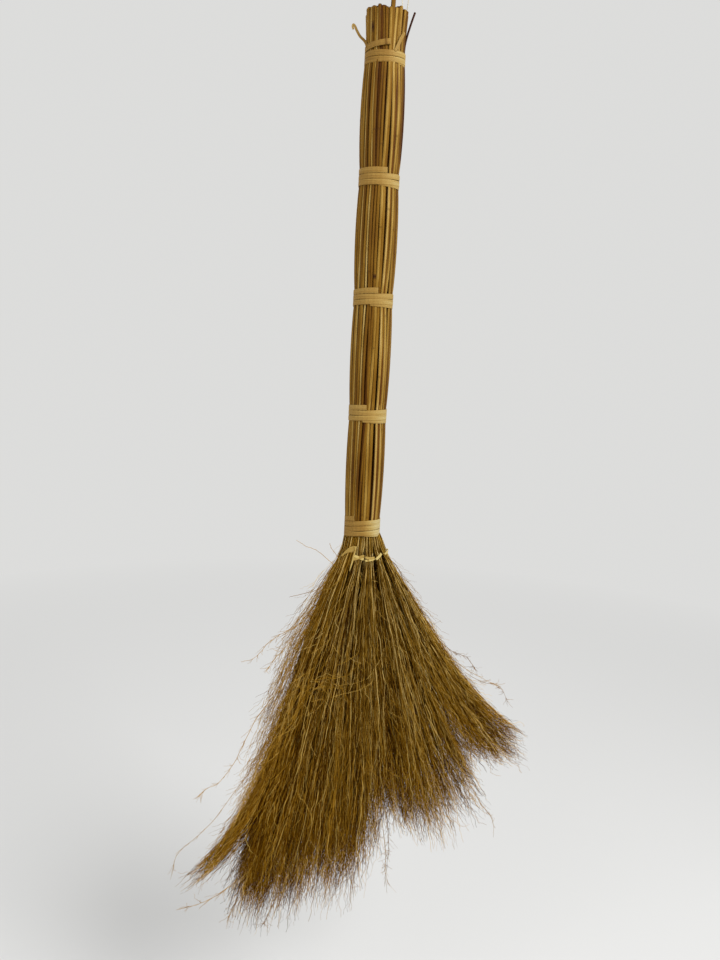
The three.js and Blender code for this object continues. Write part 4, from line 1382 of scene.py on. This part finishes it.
# %% Sprays on the wisps
WISP_SPRAYS = 2300
WISP_SPRAY_LENGTHS = (8 * MM, 32 * MM)
which = rng.integers(0, WISPS, WISP_SPRAYS)
where = rng.integers(3, WISP_STEPS - 2, WISP_SPRAYS)
roots, heading = forks(wisps, which, where)
lean = rng.normal(0, 0.4, (WISP_SPRAYS, 3)) * [1, 0.8, 0.7]
lean[:, 0] += np.where(at_left[which], -0.3, 0.2) * rng.uniform(0, 1, WISP_SPRAYS)
paths = walk(roots, heading, lean, rng.uniform(*WISP_SPRAY_LENGTHS, WISP_SPRAYS), SPRAY_STEPS, crook=0.42)
radii = radii_of(WISP_SPRAYS, SPRAY_STEPS, thinnest=0.12, thickest=0.18)
add_by_bunch("wisp_sprays", paths, radii, 3, wisp_tones[which], wisp_along[which, where],
             wisp_share[which], wisp_depth[which])

# %% The long strays
STRAYS = (
    # places right of and above the row's middle, in millimetres
    ((-30, -12), (-38, -4), (-56, 11), (-68, 17), (-79, 23)),
    ((-26, -6), (-32, 3), (-39, 13), (-42, 19)),
    ((-44, -24), (-52, -33), (-64, -38), (-76, -41), (-85, -45)),
    ((-56, -58), (-71, -71), (-90, -80), (-106, -90), (-120, -105), (-134, -108)),
    ((-66, -70), (-82, -91), (-98, -107), (-108, -121)),
    ((-80, -118), (-96, -147), (-118, -176), (-132, -205), (-146, -231), (-161, -248), (-173, -252),
     (-181, -259)),
    ((-90, -190), (-110, -224), (-137, -256), (-166, -294), (-187, -311), (-201, -325), (-208, -344)),
    ((-110, -345), (-126, -364), (-148, -378), (-161, -384), (-179, -389), (-192, -390)),
    ((-118, -350), (-132, -389), (-139, -406), (-145, -423)),
    ((-84, -370), (-90, -405), (-98, -423), (-103, -434)),
    ((40, -330), (48, -376), (49, -401), (57, -426)),
    ((44, -300), (49, -345), (53, -377), (51, -422)),
    ((100, -106), (122, -123), (142, -131), (157, -145)),
    ((126, -136), (150, -154), (175, -168), (195, -183)),
    ((140, -152), (165, -167), (191, -175), (204, -197)),
    ((150, -290), (176, -332), (193, -356), (205, -376)),
)
STRAY_STEPS = 36
STRAY_PLACE = np.array([AXIS[0] + ROW_SHIFT, AXIS[1] - 4 * MM, ROW])
STRAY_KINK = 0.45 * MM * np.array([0.7, 1, 0.7])
strays, stray_radii = [], []
for places in STRAYS:
    path = evened_path([(right, 0, above) for right, above in places], STRAY_STEPS) * MM
    kinks = np.cumsum(rng.normal(0, 1, (STRAY_STEPS, 3)), axis=0) * STRAY_KINK
    strays.append(STRAY_PLACE + path + kinks * np.linspace(0, 1, STRAY_STEPS)[:, None])
    stray_radii.append(radii_of(1, STRAY_STEPS, thinnest=0.24, thickest=0.34)[0])
strays = np.array(strays)
stray_tones = rng.uniform(0.3, 0.75, len(STRAYS))
rings = rings_round(strays, np.array(stray_radii), 5)
add_tubes("long_strays", [], rings, {"tone": stray_tones, "along": 0.6}, twig_finish)

# %% Barbs on the long strays, but for the bare ones beside the neck
BARBS = 340
BARE_STRAYS = 3
BARB_STEPS = 7
BARB_LENGTHS = (3 * MM, 18 * MM)
FIRST_BARB = 8
BARB_REACH = np.array([18, 8, 22]) * MM
which = rng.integers(BARE_STRAYS, len(STRAYS), BARBS)
where = rng.integers(FIRST_BARB, STRAY_STEPS - 2, BARBS)
roots, heading = forks(strays, which, where)
lean = rng.normal(0, 0.9, (BARBS, 3))
paths = walk(roots, heading, lean, rng.uniform(*BARB_LENGTHS, BARBS), BARB_STEPS, crook=0.25)
radii = radii_of(BARBS, BARB_STEPS, thinnest=0.14, thickest=0.22)
held = held_in(paths, BARB_REACH)
rings = rings_round(paths[held], radii[held], 3)
barb_attributes = {"tone": stray_tones[which[held]], "along": 0.7}
add_tubes("barbs_of_strays", [], rings, barb_attributes, twig_finish)

# %% [markdown]
# ## Studio
#
# A pale floor lies well below the hanging broom and fades into a pale surrounding. One broad lamp stands
# above and to the right of the camera, as the shop's ceiling lights do, and the surroundings fill the rest.

# %% Floor
FLOOR_DROP = 0.22
FLOOR_RADIUS = 9.0
FLOOR_COLOUR = (0.7, 0.7, 0.69, 1.0)
FADE_FROM = 0.7
FADE_STEEPNESS = 0.6
PALE = (0.72, 0.72, 0.71, 1.0)
floor_level = cad_low.z - FLOOR_DROP
bpy.ops.mesh.primitive_circle_add(vertices=96, radius=FLOOR_RADIUS, fill_type="NGON",
                                  location=(0, 0, floor_level))
floor = bpy.context.object
floor.name = "floor"
floor_finish, sheet, shader = finish_of("pale floor", roughness=0.9, specular=0.1)
sheet.feed(shader, {"Base Color": FLOOR_COLOUR})
place = sheet.node("ShaderNodeTexCoord", {}, {}, "Object")
distance = sheet.node("ShaderNodeVectorMath", {"operation": "LENGTH"}, {0: place}, "Value")
fade = ((distance - FADE_FROM) * FADE_STEEPNESS).clamped()
glow = sheet.node("ShaderNodeEmission", {}, {"Color": PALE, "Strength": 1.0})
surface = sheet.node("ShaderNodeMixShader", {}, {0: fade, 1: Wire(sheet, shader.outputs[0]), 2: glow})
sheet.feed(sheet.tree.nodes["Material Output"], {"Surface": surface})
floor.data.materials.append(floor_finish)
print("floor at", round(floor_level, 3))

# %% World
world = bpy.data.worlds.new("studio")
bpy.context.scene.world = world
sheet = Sheet(world)
sheet.tree.nodes.clear()
rays = ("Is Camera Ray", "Is Glossy Ray", "Is Transmission Ray")
seen = sum(sheet.node("ShaderNodeLightPath", {}, {}, ray) for ray in rays).clamped()
fill = sheet.node("ShaderNodeBackground", {}, {"Color": (1.0, 1.0, 1.0, 1.0), "Strength": 0.55})
backdrop = sheet.node("ShaderNodeBackground", {}, {"Color": PALE, "Strength": 1.0})
both = sheet.node("ShaderNodeMixShader", {}, {0: seen, 1: fill, 2: backdrop})
sheet.feed(sheet.tree.nodes.new("ShaderNodeOutputWorld"), {"Surface": both})
print("world ready")


# %% Lamps
def add_lamp(name, place, size, power):
    """A round area lamp that looks at the middle of the broom."""
    data = bpy.data.lights.new(name, "AREA")
    data.shape = "DISK"
    data.size = size
    data.energy = power
    lamp = bpy.data.objects.new(name, data)
    bpy.context.scene.collection.objects.link(lamp)
    lamp.location = place
    lamp.rotation_mode = "QUATERNION"
    lamp.rotation_quaternion = (broom_middle - Vector(place)).to_track_quat("-Z", "Y")


broom_middle = Vector((AXIS[0], AXIS[1], (cad_low.z + cad_high.z) / 2))
add_lamp("key_lamp", (0.9, -1.5, 0.9), size=1.2, power=42)
add_lamp("left_lamp", (-1.6, -0.9, 0.2), size=1.4, power=12)
add_lamp("back_lamp", (0.4, 1.8, 0.8), size=1.4, power=14)
bpy.context.scene.view_settings.view_transform = "Standard"
print("lamps ready")
